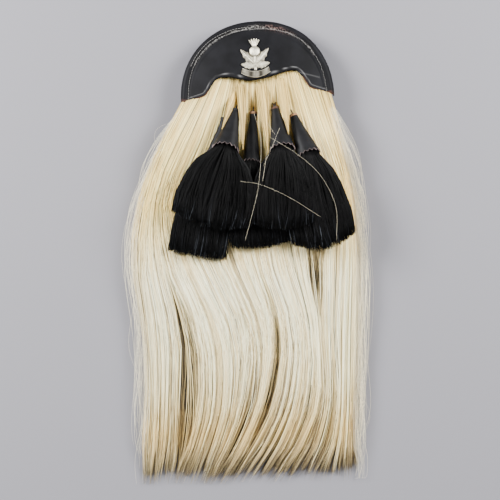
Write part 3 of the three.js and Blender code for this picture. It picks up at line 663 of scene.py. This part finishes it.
def forelock(row, count):
    """Hairs of one forelock. Their distance from its middle line is widest at the widest place,
    and falls to nothing at the point."""
    size = (count, 1)
    run = np.linspace(0, 1, HAIR_STEPS)
    middle = smooth_through([row["root"], row["wide"], row["point"]], run)
    aside = chance.uniform(-1, 1, size)
    open_to = np.interp(run, [0, 0.35, 0.5, 1], [0.95, 1.05, 1, 0.05])
    paths = np.tile(middle, (count, 1, 1))
    paths[..., 0] += row["half"] * aside * open_to + 0.3 * np.sin(8 * run + 9 * aside)
    paths[..., 2] -= 3 * aside**2 * open_to + chance.uniform(0, 2.5, size)
    paths = middle[0] + (paths - middle[0]) * chance.uniform(0.8, 1, size)[..., None]
    # Painted shade: hairs towards the forelock's sides are darker.
    tone = 0.86 - np.abs(chance.normal(0, 0.2, size)) - 0.12 * aside**2 - 0.1 * run**3
    return paths, 0.85 * HAIR_HALF_WIDTH * (1 - 0.6 * run**2), np.clip(tone, 0, 1)


for number, row in enumerate(FORELOCKS, 1):
    cream_threads(f"horsehair_forelock_{number}", *forelock(row, FORELOCK_HAIRS), FORELOCK_SHARE)


# The cantle is a thick half disc of black leather, pressed wet over a dome. Its round rim is rolled
# over a cord and sewn down in a groove, and its lower edge waves up over the roots of the hair.
CANTLE_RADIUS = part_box("cantle")[1][0] / MM
CROWN_RISE, SHOULDER_RISE, RIGHT_RISE, RIGHT_SPREAD = 2.3, 1.0, 2.8, 1.6
CORNER_DROP = 1.0
LOWER_EDGE = [
    (-61, 5.5), (-58.7, 7), (-55, 11.4), (-51, 17.5), (-47, 22.4), (-43.3, 24.9), (-36.5, 26.1),
    (-26.6, 25.2), (-16.8, 21.9), (-3.6, 20.4), (7.6, 21.6), (21.9, 24.6), (36.3, 28.6),
    (43.3, 29.7), (47.5, 29.1), (52.9, 24.2), (58.1, 16.1), (61, 11), (64.5, 8),
]
# Sections of the rolled rim, outside and inside the leather, from the outer edge inwards: how far
# in, and the height there.
RIM = [
    (0, 2.5), (0, 7), (0.1, 11.5), (0.6, 14.8), (1.8, 17.3), (3.4, 18.7), (5, 19.1), (6.6, 18.8),
    (8, 17.6), (9.3, 16.6), (10.3, 17.3), (11.4, 18.2),
]
UNDER_RIM = [
    (1.3, 2.5), (1.3, 7), (1.4, 11), (2, 13.5), (3.2, 15.3), (4.4, 16.3), (5.4, 16.8),
    (6.8, 16.2), (8, 15.2), (9.3, 14.4), (10.3, 15.1), (11.6, 16.1),
]
DOME_FOOT, DOME_CROWN, DOME_RADIUS = 18.0, 28.0, 77.9
CANTLE_LEATHER = 2.2
RAILS, RIM_ROWS, DOME_ROWS = 241, 30, 22


def along_evenly(knots, count):
    """Points at equal distances along the smooth line through the knots."""
    fine = smooth_through(knots, np.linspace(0, 1, 40 * len(knots)))
    walked = np.concatenate([[0], np.cumsum(np.linalg.norm(np.diff(fine, axis=0), axis=1))])
    even = np.linspace(0, walked[-1], count)
    return np.stack([np.interp(even, walked, fine[:, k]) for k in range(fine.shape[1])], axis=-1)


def dome_height(x, y):
    """A shallow bowl turned over: it falls with the square of the distance from its middle."""
    return DOME_FOOT + (DOME_CROWN - DOME_FOOT) * (1 - (x**2 + y**2) / DOME_RADIUS**2)


def rim_radius(angle):
    """The half round's radius, a little fuller at the crown and the shoulders, and all the way
    down its right side."""
    high = np.clip(np.sin(angle), 0, None)
    shoulders = np.sin(2 * angle) ** 2 * (high > 0)
    right = np.clip(RIGHT_SPREAD * np.cos(angle), 0, 1)
    return CANTLE_RADIUS + CROWN_RISE * high + SHOULDER_RISE * shoulders + RIGHT_RISE * right


def cantle_side(profile, thickness):
    """One side of the cantle as rows from the rim inwards by rails from corner to corner. A rail
    runs straight from the round rim to the lower edge. It follows the rim's section first, and
    then the dome."""
    droop = np.arcsin(CORNER_DROP / CANTLE_RADIUS)
    angle = np.linspace(np.pi + droop, -droop, RAILS)
    rim = rim_radius(angle)[:, None] * np.stack([np.cos(angle), np.sin(angle)], axis=-1)
    inner = along_evenly(LOWER_EDGE, RAILS)
    length = np.linalg.norm(inner - rim, axis=1)
    section = smooth_through(profile, np.linspace(0, 1, RIM_ROWS))
    share = np.linspace(0, 1, DOME_ROWS + 1)[1:, None] ** 0.9
    inset = np.concatenate([
        np.tile(section[:, :1], (1, RAILS)),
        section[-1, 0] + share * (length - section[-1, 0]),
    ])
    flat = rim + (inset / length)[..., None] * (inner - rim)
    height = dome_height(flat[..., 0], flat[..., 1]) - thickness
    height[:RIM_ROWS] = section[:, 1:]
    return np.concatenate([flat, height[..., None]], axis=-1), inset


def near_segment(x, y, start, end, reach):
    """1 on the straight line between two points, fading away within the reach to either side."""
    start, along = np.array(start, float), np.subtract(end, start).astype(float)
    off = np.stack([x, y], axis=-1) - start
    share = np.clip((off @ along) / (along @ along), 0, 1)
    gap = np.linalg.norm(off - share[..., None] * along, axis=-1)
    return hump(gap, 0, reach)


# The lower edge is rounded, and a groove runs along it.
ROUNDING, GROOVE_IN, GROOVE_HALF, GROOVE_DEPTH = 1.6, 3.0, 0.5, 0.6
cantle_top, cantle_inset = cantle_side(RIM, 0)
cantle_low, _ = cantle_side(UNDER_RIM, CANTLE_LEATHER)
lower_line = np.concatenate([cantle_top[::4, 0, :], cantle_top[-1], cantle_top[::-4, -1, :]])
lower_line = along_evenly(lower_line[::3], 700)[:, :2]
from_edge = np.sqrt(((cantle_top[..., None, :2] - lower_line) ** 2).sum(axis=-1).min(axis=-1))
pressed = GROOVE_DEPTH * hump(from_edge, GROOVE_IN, GROOVE_HALF)
pressed += np.clip(1 - from_edge / ROUNDING, 0, 1) ** 2
cantle_top[..., 2] -= pressed * (cantle_inset > 2)
cantle = closed_sheets("cantle_leather", [(cantle_top, cantle_low)])

# The wax has worn off where the cantle rubs: grey on the crown of the rim, pinkish where the raw
# hide shows, and red-brown on the cut edge at the corners. A pale line along the lower crease, and
# a short line on the right, are a painted highlight.
x, y = cantle_top[..., 0], cantle_top[..., 1]
crown_rub = hump(x, 4, 9) * hump(cantle_inset, 8, 1.8)
beside_seam = 0.75 * hump(cantle_inset, 8.6, 1) * (np.abs(x) < 70)
# Painted highlight along the lower crease, and on a short line on the right.
crease_highlight_amount = 0.24 * hump(from_edge, 3.7, 0.36) * (cantle_inset > 8)
crease_highlight_amount += 0.12 * near_segment(x, y, (47, 28), (75, 20), 0.45)
pink_rub = 0.9 * hump(x, 28, 14) * hump(cantle_inset, 8, 2.2)
corner = 0.4 * hump(np.abs(x), 85, 4) * (y < 4)
cut_edge = np.clip(1.3 - from_edge / 0.9, 0, 1) * (np.abs(x) > 55)
WEAR_AND_HIGHLIGHTS = [
    {"name": "crown_wear", "amount": crown_rub + beside_seam, "colour": "a6a39e"},
    {"name": "pink_wear", "amount": pink_rub, "colour": "8f7069"},
    # Painted highlight on the lower crease.
    {"name": "crease_highlight", "amount": crease_highlight_amount, "colour": "b4b3b2"},
    {"name": "raw_hide", "amount": corner + cut_edge, "colour": "57382b"},
]
for wear_and_highlight in WEAR_AND_HIGHLIGHTS:
    amount = np.clip(wear_and_highlight["amount"], 0, 1)
    paint(cantle, wear_and_highlight["name"], [amount, 0 * amount])
BROKEN = ("crown_wear", "pink_wear")
RUB_PITCH = 1.8


def worn_and_highlighted_cowhide():
    """Waxed cowhide whose painted marks lay other colours over it: worn places, some of them in
    broken patches, and a painted highlight along the lower crease.
    """
    material = new_material("worn_and_highlighted_black_cowhide")
    clouds = pattern(material, "Noise", HANDLING_PITCH, Detail=6.0)
    patches = pattern(material, "Noise", RUB_PITCH, Detail=4.0)
    pores = pattern(material, "Voronoi", PORE_PITCH, "Distance")
    colour = coloured(material, clouds, [(0.38, "09090b"), (0.72, "131316")])
    inputs = {"Value": patches, "From Min": 0.46, "From Max": 0.66}
    broken = add_node(material, "ShaderNodeMapRange", inputs).outputs[0]
    for wear_and_highlight in WEAR_AND_HIGHLIGHTS:
        amount = painted(material, wear_and_highlight["name"])
        if wear_and_highlight["name"] in BROKEN:
            inputs = {0: amount, 1: broken}
            amount = add_node(material, "ShaderNodeMath", inputs, operation="MULTIPLY").outputs[0]
        colour = mixed(material, amount, colour, linear(wear_and_highlight["colour"]))
    grain = bumps(material, pores, 0.2, PORE_DEPTH)
    return finish_surface(material, colour, 0.6, grain, specular=0.1)


dress(cantle, worn_and_highlighted_cowhide(), "black_leather", "cantle")

# The rim is sewn down with a grey linen thread, in one line right round and a second line on the
# left shoulder. Angles run from the right corner over the crown, in degrees.
SEAMS = [{"inset": 9.3, "from": 3, "to": 177}, {"inset": 6.3, "from": 94, "to": 150}]
STITCH_PITCH, STITCH_LENGTH, STITCH_STEPS = 3.3, 2.7, 5
STITCH_HALF_WIDTH, STITCH_WANDER = 0.24, 0.12
STITCH_RISE, STITCH_DIP = 0.35, 0.55
IN_AT_CROWN, OUT_AT_SHOULDERS = 0.9, 1.7


def stitches(seam):
    """Short threads end to end along a line inside the rim. Both ends of each dip into the
    leather. The line lies further in at the crown and further out at the shoulders."""
    length = np.radians(seam["to"] - seam["from"]) * CANTLE_RADIUS
    count = int(length / STITCH_PITCH)
    middle = np.linspace(seam["from"], seam["to"], count)[:, None]
    run = np.linspace(-1, 1, STITCH_STEPS)
    angle = np.radians(middle) + run * STITCH_LENGTH / 2 / CANTLE_RADIUS
    high = np.sin(angle)
    shoulder = np.sin(2 * angle) ** 2
    inset = seam["inset"] + IN_AT_CROWN * high - OUT_AT_SHOULDERS * shoulder
    inset = inset + chance.normal(0, STITCH_WANDER, (count, 1))
    radius = rim_radius(angle) - inset
    height = np.interp(inset, *np.array(RIM).T) + STITCH_RISE - STITCH_DIP * run**4
    return np.stack([radius * np.cos(angle), radius * high, height], axis=-1)


seam_paths = np.concatenate([stitches(seam) for seam in SEAMS])
seam_threads = threads("cantle_stitches", seam_paths, STITCH_HALF_WIDTH, sides=5)
linen = plain("waxed_grey_linen_thread", "7d7b78", 0.7, 0.3)
dress(seam_threads, linen, "black_leather", "cantle")

# The badge is one silver casting with two posts through the leather: a toothed sprig, a scaled
# bulb with a ridged tuft, and a plain scroll below them. It follows the dome that it sits on.
BADGE_AT = (1.0, 46.5)
BADGE_SEAT, BADGE_EDGE = 0.15, 0.9
LEAF_PAIRS = [
    {"stalk": (0, -8), "tip": (16.5, 11), "half": 5.2, "lift": 0.7},
    {"stalk": (0, -10), "tip": (17, -7), "half": 4.8, "lift": 1.1},
]
LEAF = {"teeth": 4, "notch": 0.3, "fold": 0.7, "veins": 9, "slant": 2.2, "vein": 0.28}
MIDRIB = 0.7
SCROLL = {"top": -11.5, "top_sag": -20, "foot": -17.5, "foot_sag": -29.5, "half": (15, 17)}
BEAD = {"height": 0.7, "ripple": 0.25, "ripples": 9}
TUFT = {"middle": 11, "spread": 0.65, "reach": 12, "notch": 2.4, "spikes": 5, "from": 2.5}
TUFT_LIFT, TUFT_RIDGE = 0.9, 0.8
BULB = {"y": 7.5, "radius": 6.4, "swell": 3.2, "scales": 1.5, "scale": 0.7}
STEM = {"top": 4, "foot": -15, "half": 1.4, "lift": 0.7}


def saw(turns):
    """A saw-tooth wave: 1 at whole numbers of turns, and 0 halfway between them."""
    return np.abs(2 * (turns % 1) - 1)


def seated(x, y, lift):
    """Upper and lower grid of one form: the dome's height, plus an edge's thickness and a lift."""
    x, y = x + BADGE_AT[0], y + BADGE_AT[1]
    ground = dome_height(x, y)
    upper = np.stack([x, y, ground + BADGE_EDGE + lift], axis=-1)
    return upper, np.stack([x, y, ground + BADGE_SEAT], axis=-1)


def leaf_form(leaf, side):
    """A leaf on the right, side 1, or the left, side -1, folded along its midrib. Its half width
    is a sine belly cut by a saw tooth, and its veins are cosine ridges that slant forward."""
    u, v = ranges((0.02, 0.99, 49), (-1, 1, 21))
    stalk = np.array(leaf["stalk"], float)
    along = np.array(leaf["tip"]) * [side, 1] - stalk
    across = unit(np.array([-along[1], along[0]]))
    teeth = 1 - LEAF["notch"] * saw(u * LEAF["teeth"])
    half = leaf["half"] * np.sin(np.pi * u**0.8) * teeth + 0.15
    x = stalk[0] + u * along[0] + v * half * across[0]
    y = stalk[1] + u * along[1] + v * half * across[1]
    slant = LEAF["veins"] * u - LEAF["slant"] * np.abs(v)
    veins = LEAF["vein"] * np.cos(2 * np.pi * slant) * (1 - v**2)
    midrib = MIDRIB * hump(v, 0, 0.12)
    return seated(x, y, leaf["lift"] - LEAF["fold"] * np.abs(v) + veins + midrib)


def scroll_form():
    """A ribbon between two sagging parabolas, with a bead along both edges and a dished middle."""
    w, u = ranges((0, 1, 15), (-1, 1, 61))
    half = SCROLL["half"][0] + w * (SCROLL["half"][1] - SCROLL["half"][0])
    sag = (1 - u**2) / 2
    top = SCROLL["top"] + sag * (SCROLL["top_sag"] - SCROLL["top"])
    foot = SCROLL["foot"] + sag * (SCROLL["foot_sag"] - SCROLL["foot"])
    bead = BEAD["height"] * hump(np.abs(2 * w - 1), 0.86, 0.12)
    ripple = BEAD["ripple"] * np.cos(BEAD["ripples"] * u)
    return seated(u * half, top + w * (foot - top), bead + ripple)


def tuft_form():
    """A fan whose edge is cut into points, with a ridge running out to each point."""
    s, v = ranges((1, 0, 17), (-1, 1, 61))
    angle = TUFT["spread"] * v
    notch = saw((v + 1) / 2 * TUFT["spikes"])
    far = TUFT["from"] + s * (TUFT["reach"] - TUFT["notch"] * notch - TUFT["from"])
    ridge = TUFT_RIDGE * (1 - 2 * notch) * s
    x, y = far * np.sin(angle), TUFT["middle"] + far * np.cos(angle)
    return seated(x, y, TUFT_LIFT + ridge)


def bulb_form():
    """A low dome covered with overlapping scales: two slanting sine waves multiplied."""
    u, v = ranges((0.98, -0.98, 31), (-1, 1, 31))
    y, half = BULB["radius"] * u, BULB["radius"] * np.sqrt(1 - u**2)
    x = v * half
    swell = np.sqrt(np.clip(1 - (x**2 + y**2) / BULB["radius"] ** 2, 0, 1))
    scale = np.abs(np.sin(BULB["scales"] * (x + y)) * np.sin(BULB["scales"] * (x - y)))
    return seated(x, y + BULB["y"], (BULB["swell"] + BULB["scale"] * scale) * swell)


def stem_form():
    """A straight stem, whose section is most of a low half ellipse."""
    y, v = ranges((STEM["top"], STEM["foot"], 21), (-1, 1, 9))
    return seated(STEM["half"] * v, y, STEM["lift"] * np.sqrt(1 - 0.9 * v**2))


leaves = [leaf_form(leaf, side) for leaf in LEAF_PAIRS for side in (1, -1)]
forms = [*leaves, scroll_form(), tuft_form(), bulb_form(), stem_form()]
badge = closed_sheets("badge_casting", forms)
standing = [upper[..., 2] - lower[..., 2] for upper, lower in forms]
paint(badge, "raised", np.concatenate([[*high.ravel(), *0 * high.ravel()] for high in standing]))

# Cast silver, handled but seldom polished: bright on what stands out, grey tarnish in the hollows.
PIT_PITCH, PIT_DEPTH = 0.9, 0.5
silver = new_material("tarnished_cast_silver")
height_range = {"Value": painted(silver, "raised"), "From Min": 0.5, "From Max": 2.6}
height_share = add_node(silver, "ShaderNodeMapRange", height_range).outputs[0]
SILVER_STOPS = [(0.0, "46423a"), (0.3, "a39d8c"), (0.65, "cdc7b4"), (1.0, "dcd6c2")]
silver_tone = coloured(silver, height_share, SILVER_STOPS)
pitting = bumps(silver, pattern(silver, "Noise", PIT_PITCH, Detail=3.0), 0.5, PIT_DEPTH)
finish_surface(silver, silver_tone, 0.44, pitting, metallic=1.0)
dress(badge, silver, "silver", "badge")


# Each tassel hangs on a thong. A cone of black leather with a pinked edge is glued round the bound
# top of a bundle of black horse hair, and the hair spreads below it to a blunt cut foot.
# One row each: the cone's tip and the middle of its rim, its half width there and how flat it is;
# the middle of the skirt's foot, its half width and half depth, and how far its corners draw up.
TASSEL_COLUMNS = ("tip", "rim", "neck", "flat", "foot", "flare", "deep", "arc")
TASSEL_ROWS = [
    ((-38.5, -21, 21.5), (-52, -63, 25.5), 10, 0.5, (-80, -180, 25), 35, 7, 3),
    ((-24.4, -12.5, 26), (-39, -60, 43), 15.5, 0.78, (-63, -147, 41), 48, 8, 10),
    ((-4.5, -16, 24), (-11, -76, 30), 11, 0.55, (-6, -174, 26), 37, 7, 5),
    ((20.6, -13, 26), (25.5, -64, 43), 15, 0.78, (20, -155, 41.5), 38, 8, 10),
    ((41, -22, 26), (56, -72, 38), 14.5, 0.78, (69.5, -180, 31), 38.5, 8, 14),
]
TASSELS = [dict(zip(TASSEL_COLUMNS, map(np.array, row))) for row in TASSEL_ROWS]
CONE_TIP, CONE_WALL, RIM_THINNING = 4.4, 1.3, 0.75
CONE_WIDE = {"along": [0, 0.4, 1], "wide": [0.29, 0.54, 1]}
TEETH, TOOTH_POINTS, CONE_ROWS = 16, 6, 22
PINK_DEPTH, RIM_ARCH = 1.35, 4.0
WIDE_FOLD, NARROW_FOLD = 0.28, 0.16
CUT_FROM = 0.992


def section_frame(ahead):
    """Side and upward directions square to the direction ahead."""
    aside = unit(np.array([-ahead[1], ahead[0], 0.0]))
    above = np.cross(ahead, aside)
    return aside, above * (1 if above[2] > 0 else -1)


def cone_axis(tassel):
    """The cone's tip and rim, and the directions ahead, aside and above along its axis."""
    tip, rim = tassel["tip"], tassel["rim"]
    ahead = unit(rim - tip)
    return tip, rim, ahead, *section_frame(ahead)


def cone_grid(tassel):
    """The cone's wall as rings: down the outside, over the pinked rim and back up the inside. A
    ring is an ellipse, rounder towards the tip. At the rim a saw-tooth wave pushes it along the
    axis, and a sine arch draws its upper side back. Shallow lengthwise folds ripple the outside."""
    tip, rim, ahead, aside, above = cone_axis(tassel)
    angle = 2 * np.pi * np.arange(TEETH * TOOTH_POINTS) / (TEETH * TOOTH_POINTS)
    rows = np.append(np.linspace(0, CUT_FROM, CONE_ROWS - 1), 1)
    along = np.concatenate([rows, rows[::-1]])[:, None]
    inner = (np.arange(2 * CONE_ROWS) >= CONE_ROWS)[:, None]
    wide = np.interp(along, CONE_WIDE["along"], CONE_WIDE["wide"])
    wall = CONE_WALL - RIM_THINNING * along**2
    half = np.maximum(tassel["neck"] * wide, CONE_TIP) - wall * inner
    flat = tassel["flat"] + (1 - tassel["flat"]) * (1 - along)
    phase = rim[0]
    fold = WIDE_FOLD * np.sin(3 * angle + phase)
    fold = fold + NARROW_FOLD * np.sin(7 * angle + 2 * phase + 2 * along)
    half = half + np.where(inner, 0, fold * along)
    tooth = PINK_DEPTH * (2 * saw(angle * TEETH / (2 * np.pi)) - 1)
    arch = along**3 * RIM_ARCH * np.clip(np.sin(angle), 0, None)
    push = rising(along, 0.9, 0.1) * tooth - arch
    centre = tip + along[..., None] * (rim - tip)
    points = centre + (half * np.cos(angle))[..., None] * aside
    points = points + (half * flat * np.sin(angle))[..., None] * above + push[..., None] * ahead
    return points, rising(along, CUT_FROM, 1 - CUT_FROM) * np.ones_like(angle)


CALF_PITCH, CALF_GRAIN = 7, 0.3


def oiled_calf():
    """Thin black calf, oiled: dark grey where the light catches it, with a pinkish cut edge."""
    material = new_material("oiled_black_calf")
    clouds = pattern(material, "Noise", CALF_PITCH, Detail=4.0)
    base = coloured(material, clouds, [(0.35, "0c0c0d"), (0.7, "151517")])
    colour = mixed(material, painted(material, "cut_edge"), base, linear("857573"))
    grain = bumps(material, clouds, 0.3, CALF_GRAIN)
    return finish_surface(material, colour, 0.55, grain, specular=0.14)


black_calf = oiled_calf()
for number, tassel in enumerate(TASSELS, 1):
    grid, cut = cone_grid(tassel)
    quads = grid_quads(*cut.shape, round_rows=True, round_columns=True)
    cone = shaped(f"tassel_cone_leather_{number}", grid, quads[:, [0, 3, 2, 1]])
    paint(cone, "cut_edge", cut)
    dress(cone, black_calf, "black_leather", f"tassel_cone_{number}")

# Black horse hair, dyed: almost matte in the mass, with a painted cold glint along single hairs.
# Below the cone's rim, the skirt's sections are shares of its half width and half depth.
SKIRT = {
    "along": [0, 0.1, 0.32, 0.68, 1],
    "wide": [0.5, 0.79, 0.98, 0.97], "deep": [1.15, 1.25, 1.1, 0.62],
}
SKIRT_KNOTS = 9
NECK_BACK, NECK_FILL, NECK_HALF = 0.3, 0.9, 0.5
TASSEL_HAIRS, TASSEL_LOCKS, TASSEL_STEPS = 980, 42, 8
TASSEL_HAIR_HALF_WIDTH = 0.36
LOCK_SPREAD, INTO_CONE, WANDER = 0.28, 0.12, 0.9
GLINT_FROM, GLINT_SPAN = 0.55, 0.35


def in_skirt(tassel, along, p, q):
    """Points in a tassel's bundle: along, 0 at the cone's rim and 1 at the foot, picks a section,
    and p and q place the point in it, side to side and up and down, from -1 to 1. The section's
    middle follows a smooth line, and its corners are drawn back by the square of p."""
    tip, rim, foot = tassel["tip"], tassel["rim"], tassel["foot"]
    knots = [rim + NECK_BACK * (tip - rim), rim, (rim + foot) / 2, foot]
    centre = smooth_through(knots, (1 + 2 * along) / 3)
    ahead = unit(foot - rim)
    aside, above = section_frame(ahead)
    neck = NECK_FILL * (tassel["neck"] - CONE_WALL)
    wide = [neck, *(tassel["flare"] * np.array(SKIRT["wide"]))]
    deep = [neck * tassel["flat"], *(tassel["deep"] * np.array(SKIRT["deep"]))]
    even = np.linspace(0, 1, SKIRT_KNOTS)
    halves = [np.interp(even, SKIRT["along"], sizes) for sizes in (wide, deep)]
    half = smooth_through(np.stack(halves, axis=-1), np.clip(along, 0, 1))
    half = half * np.clip(1 + along / NECK_BACK * NECK_HALF, NECK_HALF, 1)[..., None]
    arc = -tassel["arc"] * np.clip(along, 0, 2) ** 2 * p**2
    beyond = np.clip(along - 1, 0, 1) * np.linalg.norm(foot - rim)
    points = centre + (p * half[..., 0])[..., None] * aside
    return points + (q * half[..., 1])[..., None] * above + (arc + beyond)[..., None] * ahead


def tassel_threads(tassel, count):
    """Hairs of a tassel. Each keeps its place in the section, drawn a little towards its lock, and
    ends near the foot. Places crowd towards the outside, where the hairs are seen."""
    size = (count, 1)
    lock_angle = chance.uniform(0, 2 * np.pi, TASSEL_LOCKS)
    lock_end = chance.normal(0, 0.008, TASSEL_LOCKS)
    of = chance.integers(0, TASSEL_LOCKS, size)
    angle = lock_angle[of] + chance.normal(0, LOCK_SPREAD, size)
    radius = 1 - 0.5 * chance.random(size) ** 1.6
    end = 1 + lock_end[of] + chance.normal(0, 0.009, size) - 0.05 * (1 - radius)
    along = -INTO_CONE + (end + INTO_CONE) * np.linspace(0, 1, TASSEL_STEPS)
    spread = np.clip(along, 0, 1)
    turned = angle + 0.16 * spread * np.sin(3 * spread + of)
    paths = in_skirt(tassel, along, radius * np.cos(turned), radius * np.sin(turned))
    wave = np.sin(5 * along + chance.uniform(0, 2 * np.pi, size))
    paths[..., 0] += WANDER * spread * wave
    paths[..., 2] = np.maximum(paths[..., 2], FLOOR + 1)
    width = TASSEL_HAIR_HALF_WIDTH * chance.uniform(0.7, 1.2, size) * (1 - 0.45 * spread**6)
    # Painted glint: a lighter, bluish tone along some hairs, most of it in the lower part of the
    # skirt.
    glint = chance.normal(0.1, 0.1, size)
    glint = glint + chance.normal(0.1, 0.35, size) * rising(spread, GLINT_FROM, GLINT_SPAN)
    return paths, width, np.clip(glint, 0, 1)


CORE_ROWS, CORE_SIDES = 24, 48
CORE_FROM, CORE_TO, CORE_WIDE, CORE_DEEP = -0.1, 0.95, 0.8, 0.6


def packed_core(name, tassel):
    """A closed tube within the bundle, whose hairs aren't seen one by one: quads split in two
    round its sections, and a fan over each end."""
    along, angle = ranges((CORE_FROM, CORE_TO, CORE_ROWS), (0, 2 * np.pi, CORE_SIDES, False))
    tube = in_skirt(tassel, along, CORE_WIDE * np.cos(angle), CORE_DEEP * np.sin(angle))
    points = np.concatenate([tube.reshape(-1, 3), tube[[0, -1]].mean(axis=1)])
    walls = grid_quads(CORE_ROWS, CORE_SIDES, round_columns=True)[:, [0, 3, 2, 0, 2, 1]]
    ring = np.arange(CORE_SIDES)
    onward = np.roll(ring, -1)
    last = (CORE_ROWS - 1) * CORE_SIDES
    first_middle = np.full(CORE_SIDES, last + CORE_SIDES)
    caps = [
        np.stack([first_middle, onward, ring], axis=-1),
        np.stack([first_middle + 1, last + ring, last + onward], axis=-1),
    ]
    return shaped(name, points, np.concatenate([walls.reshape(-1, 3), *caps]))


def dyed_horsehair(name, stops):
    material = new_material(name)
    colour = coloured(material, painted(material, "tone"), stops)
    return finish_surface(material, colour, 0.6, specular=0.1)


# The lighter, bluish stops are the painted glint.
black_hair = dyed_horsehair(
    "dyed_black_horsehair", [(0.0, "060606"), (0.45, "0b0b0c"), (0.75, "24262a"), (1.0, "5c6168")]
)
packed_hair = dyed_horsehair("packed_black_horsehair", [(0.0, "060606"), (1.0, "121214")])
for number, tassel in enumerate(TASSELS, 1):
    paths, widths, glint = tassel_threads(tassel, TASSEL_HAIRS)
    hairs = threads(f"tassel_hairs_{number}", paths, widths)
    paint(hairs, "tone", np.repeat(glint, 3))
    dress(hairs, black_hair, "black_hair", f"tassel_hair_{number}")
    packed = packed_core(f"tassel_core_{number}", tassel)
    paint(packed, "tone", np.full(len(packed.data.vertices), 0.3))
    dress(packed, packed_hair, "black_hair", f"tassel_hair_{number}")

# A thong of dark leather leaves each cone's top and dives into the white hair, and the fourth has a
# second one. Waxed thread is wound round the top of each cone to hold it shut on the thong.
CORD_HALF_WIDTH, CORD_STEPS, CORD_IN_CONE, CORD_RUN = 0.9, 14, 9.0, 9.0
CORD_DIP, CORD_END = 0.6, 2.0
THREAD_TURNS, THREAD_HALF_WIDTH, THREAD_STEPS = 4, 0.36, 72
THREAD_FROM, THREAD_RUN, THREAD_PROUD = 0.6, 2.4, 0.15
THREAD_COLOURS = ["17171a", "17171a", "8a6a4e", "4a3326", "9a7350"]


def thong_path(tassel, lean):
    """From inside the cone, out of its top, and down into the hair in one smooth bend."""
    tip, _, ahead, aside, _ = cone_axis(tassel)
    out = tip - 0.45 * CORD_RUN * ahead + 0.5 * lean * aside - [0, 0, CORD_DIP]
    down = tip - CORD_RUN * ahead + lean * aside
    down[2] = FRONT + CORD_END
    knots = [tip + CORD_IN_CONE * ahead, tip, out, down]
    return smooth_through(knots, np.linspace(0, 1, CORD_STEPS))


def winding(tassel):
    """A thread in a close helix round the top of the cone, widening with it."""
    tip, _, ahead, aside, above = cone_axis(tassel)
    run = np.linspace(0, 1, THREAD_STEPS)[:, None]
    turn = 2 * np.pi * THREAD_TURNS * run
    half = np.maximum(tassel["neck"] * (CONE_WIDE["wide"][0] + 0.03 * run), CONE_TIP) + THREAD_PROUD
    middle = tip + (THREAD_FROM + THREAD_RUN * run) * ahead
    return middle + half * (np.cos(turn) * aside + np.sin(turn) * above)


cord_leather = waxed_cowhide("dark_brown_thong_leather", "1d1510", "33241a")
for number, tassel in enumerate(TASSELS, 1):
    leans = (-2.6, 2.2) if number == 4 else (0.0,)
    cords = np.stack([thong_path(tassel, lean) for lean in leans])
    cord = threads(f"tassel_cord_{number}", cords, CORD_HALF_WIDTH, sides=8)
    dress(cord, cord_leather, "cord", f"tassel_thong_{number}")
    wound = winding(tassel)[None]
    wrap = threads(f"tassel_winding_{number}", wound, THREAD_HALF_WIDTH, sides=5)
    thread = plain(f"waxed_linen_thread_{number}", THREAD_COLOURS[number - 1], 0.65, 0.3)
    dress(wrap, thread, "cord", f"tassel_thong_{number}")

# The photograph is taken from straight above, with the part lying on a table. A pale plain table
# and three wide soft lights stand in for the photographer's.
CAMERA_HEIGHT = 1600.0
CAMERA_PLACE = (-18.04, -175.96)
CAMERA_TURN = np.radians(-3.4)
FRAME_WIDTH = 591.75
TABLE_HALF, BELOW_PART = 2500.0, 0.2
table_corners = np.array([[-1, -1, 0], [1, -1, 0], [1, 1, 0], [-1, 1, 0]]) * TABLE_HALF
table_corners[:, 2] = FLOOR - BELOW_PART
table = shaped("table_top", table_corners, np.array([[0, 1, 2, 3]]), smooth=False)
coat(table, plain("matte_grey_paper", "807f84", 0.9, 0.2))
table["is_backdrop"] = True


def soft_light(name, place, aim, size, power):
    """A square area light at a place in millimetres, turned to face the aim."""
    lamp = bpy.data.lights.new(name, "AREA")
    lamp.size = size * MM
    lamp.energy = power
    light = bpy.data.objects.new(name, lamp)
    bpy.context.scene.collection.objects.link(light)
    light.location = np.array(place) * MM
    ahead = unit(np.array(aim, float) - np.array(place, float))
    light.rotation_mode = "QUATERNION"
    light.rotation_quaternion = Vector(ahead).to_track_quat("-Z", "Y")


soft_light("key_light", (-1250, 520, 950), (-20, -180, 0), 700, 92)
soft_light("fill_light", (1250, 400, 950), (-20, -180, 0), 800, 80)
soft_light("foot_light", (-100, -1300, 1200), (-20, -180, 0), 1200, 10)
world = bpy.data.worlds.new("studio_air")
world.use_nodes = True
world.node_tree.nodes["Background"].inputs["Color"].default_value = linear("d5d6da")
world.node_tree.nodes["Background"].inputs["Strength"].default_value = 0.18
bpy.context.scene.world = world

lens = bpy.data.cameras.new("overhead_camera")
lens.sensor_fit = "HORIZONTAL"
lens.angle = 2 * np.arctan(FRAME_WIDTH / 2 / CAMERA_HEIGHT)
lens.clip_end = 20
camera = bpy.data.objects.new("overhead_camera", lens)
bpy.context.scene.collection.objects.link(camera)
camera.location = np.array([*CAMERA_PLACE, FLOOR + CAMERA_HEIGHT]) * MM
camera.rotation_euler = (0, 0, CAMERA_TURN)
bpy.context.scene.camera = camera

bpy.context.view_layer.update()
visual_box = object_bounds()
boxes = {"cad": cad_box, "visual": visual_box}
boxes = {name: [[float(v) for v in corner] for corner in box] for name, box in boxes.items()}
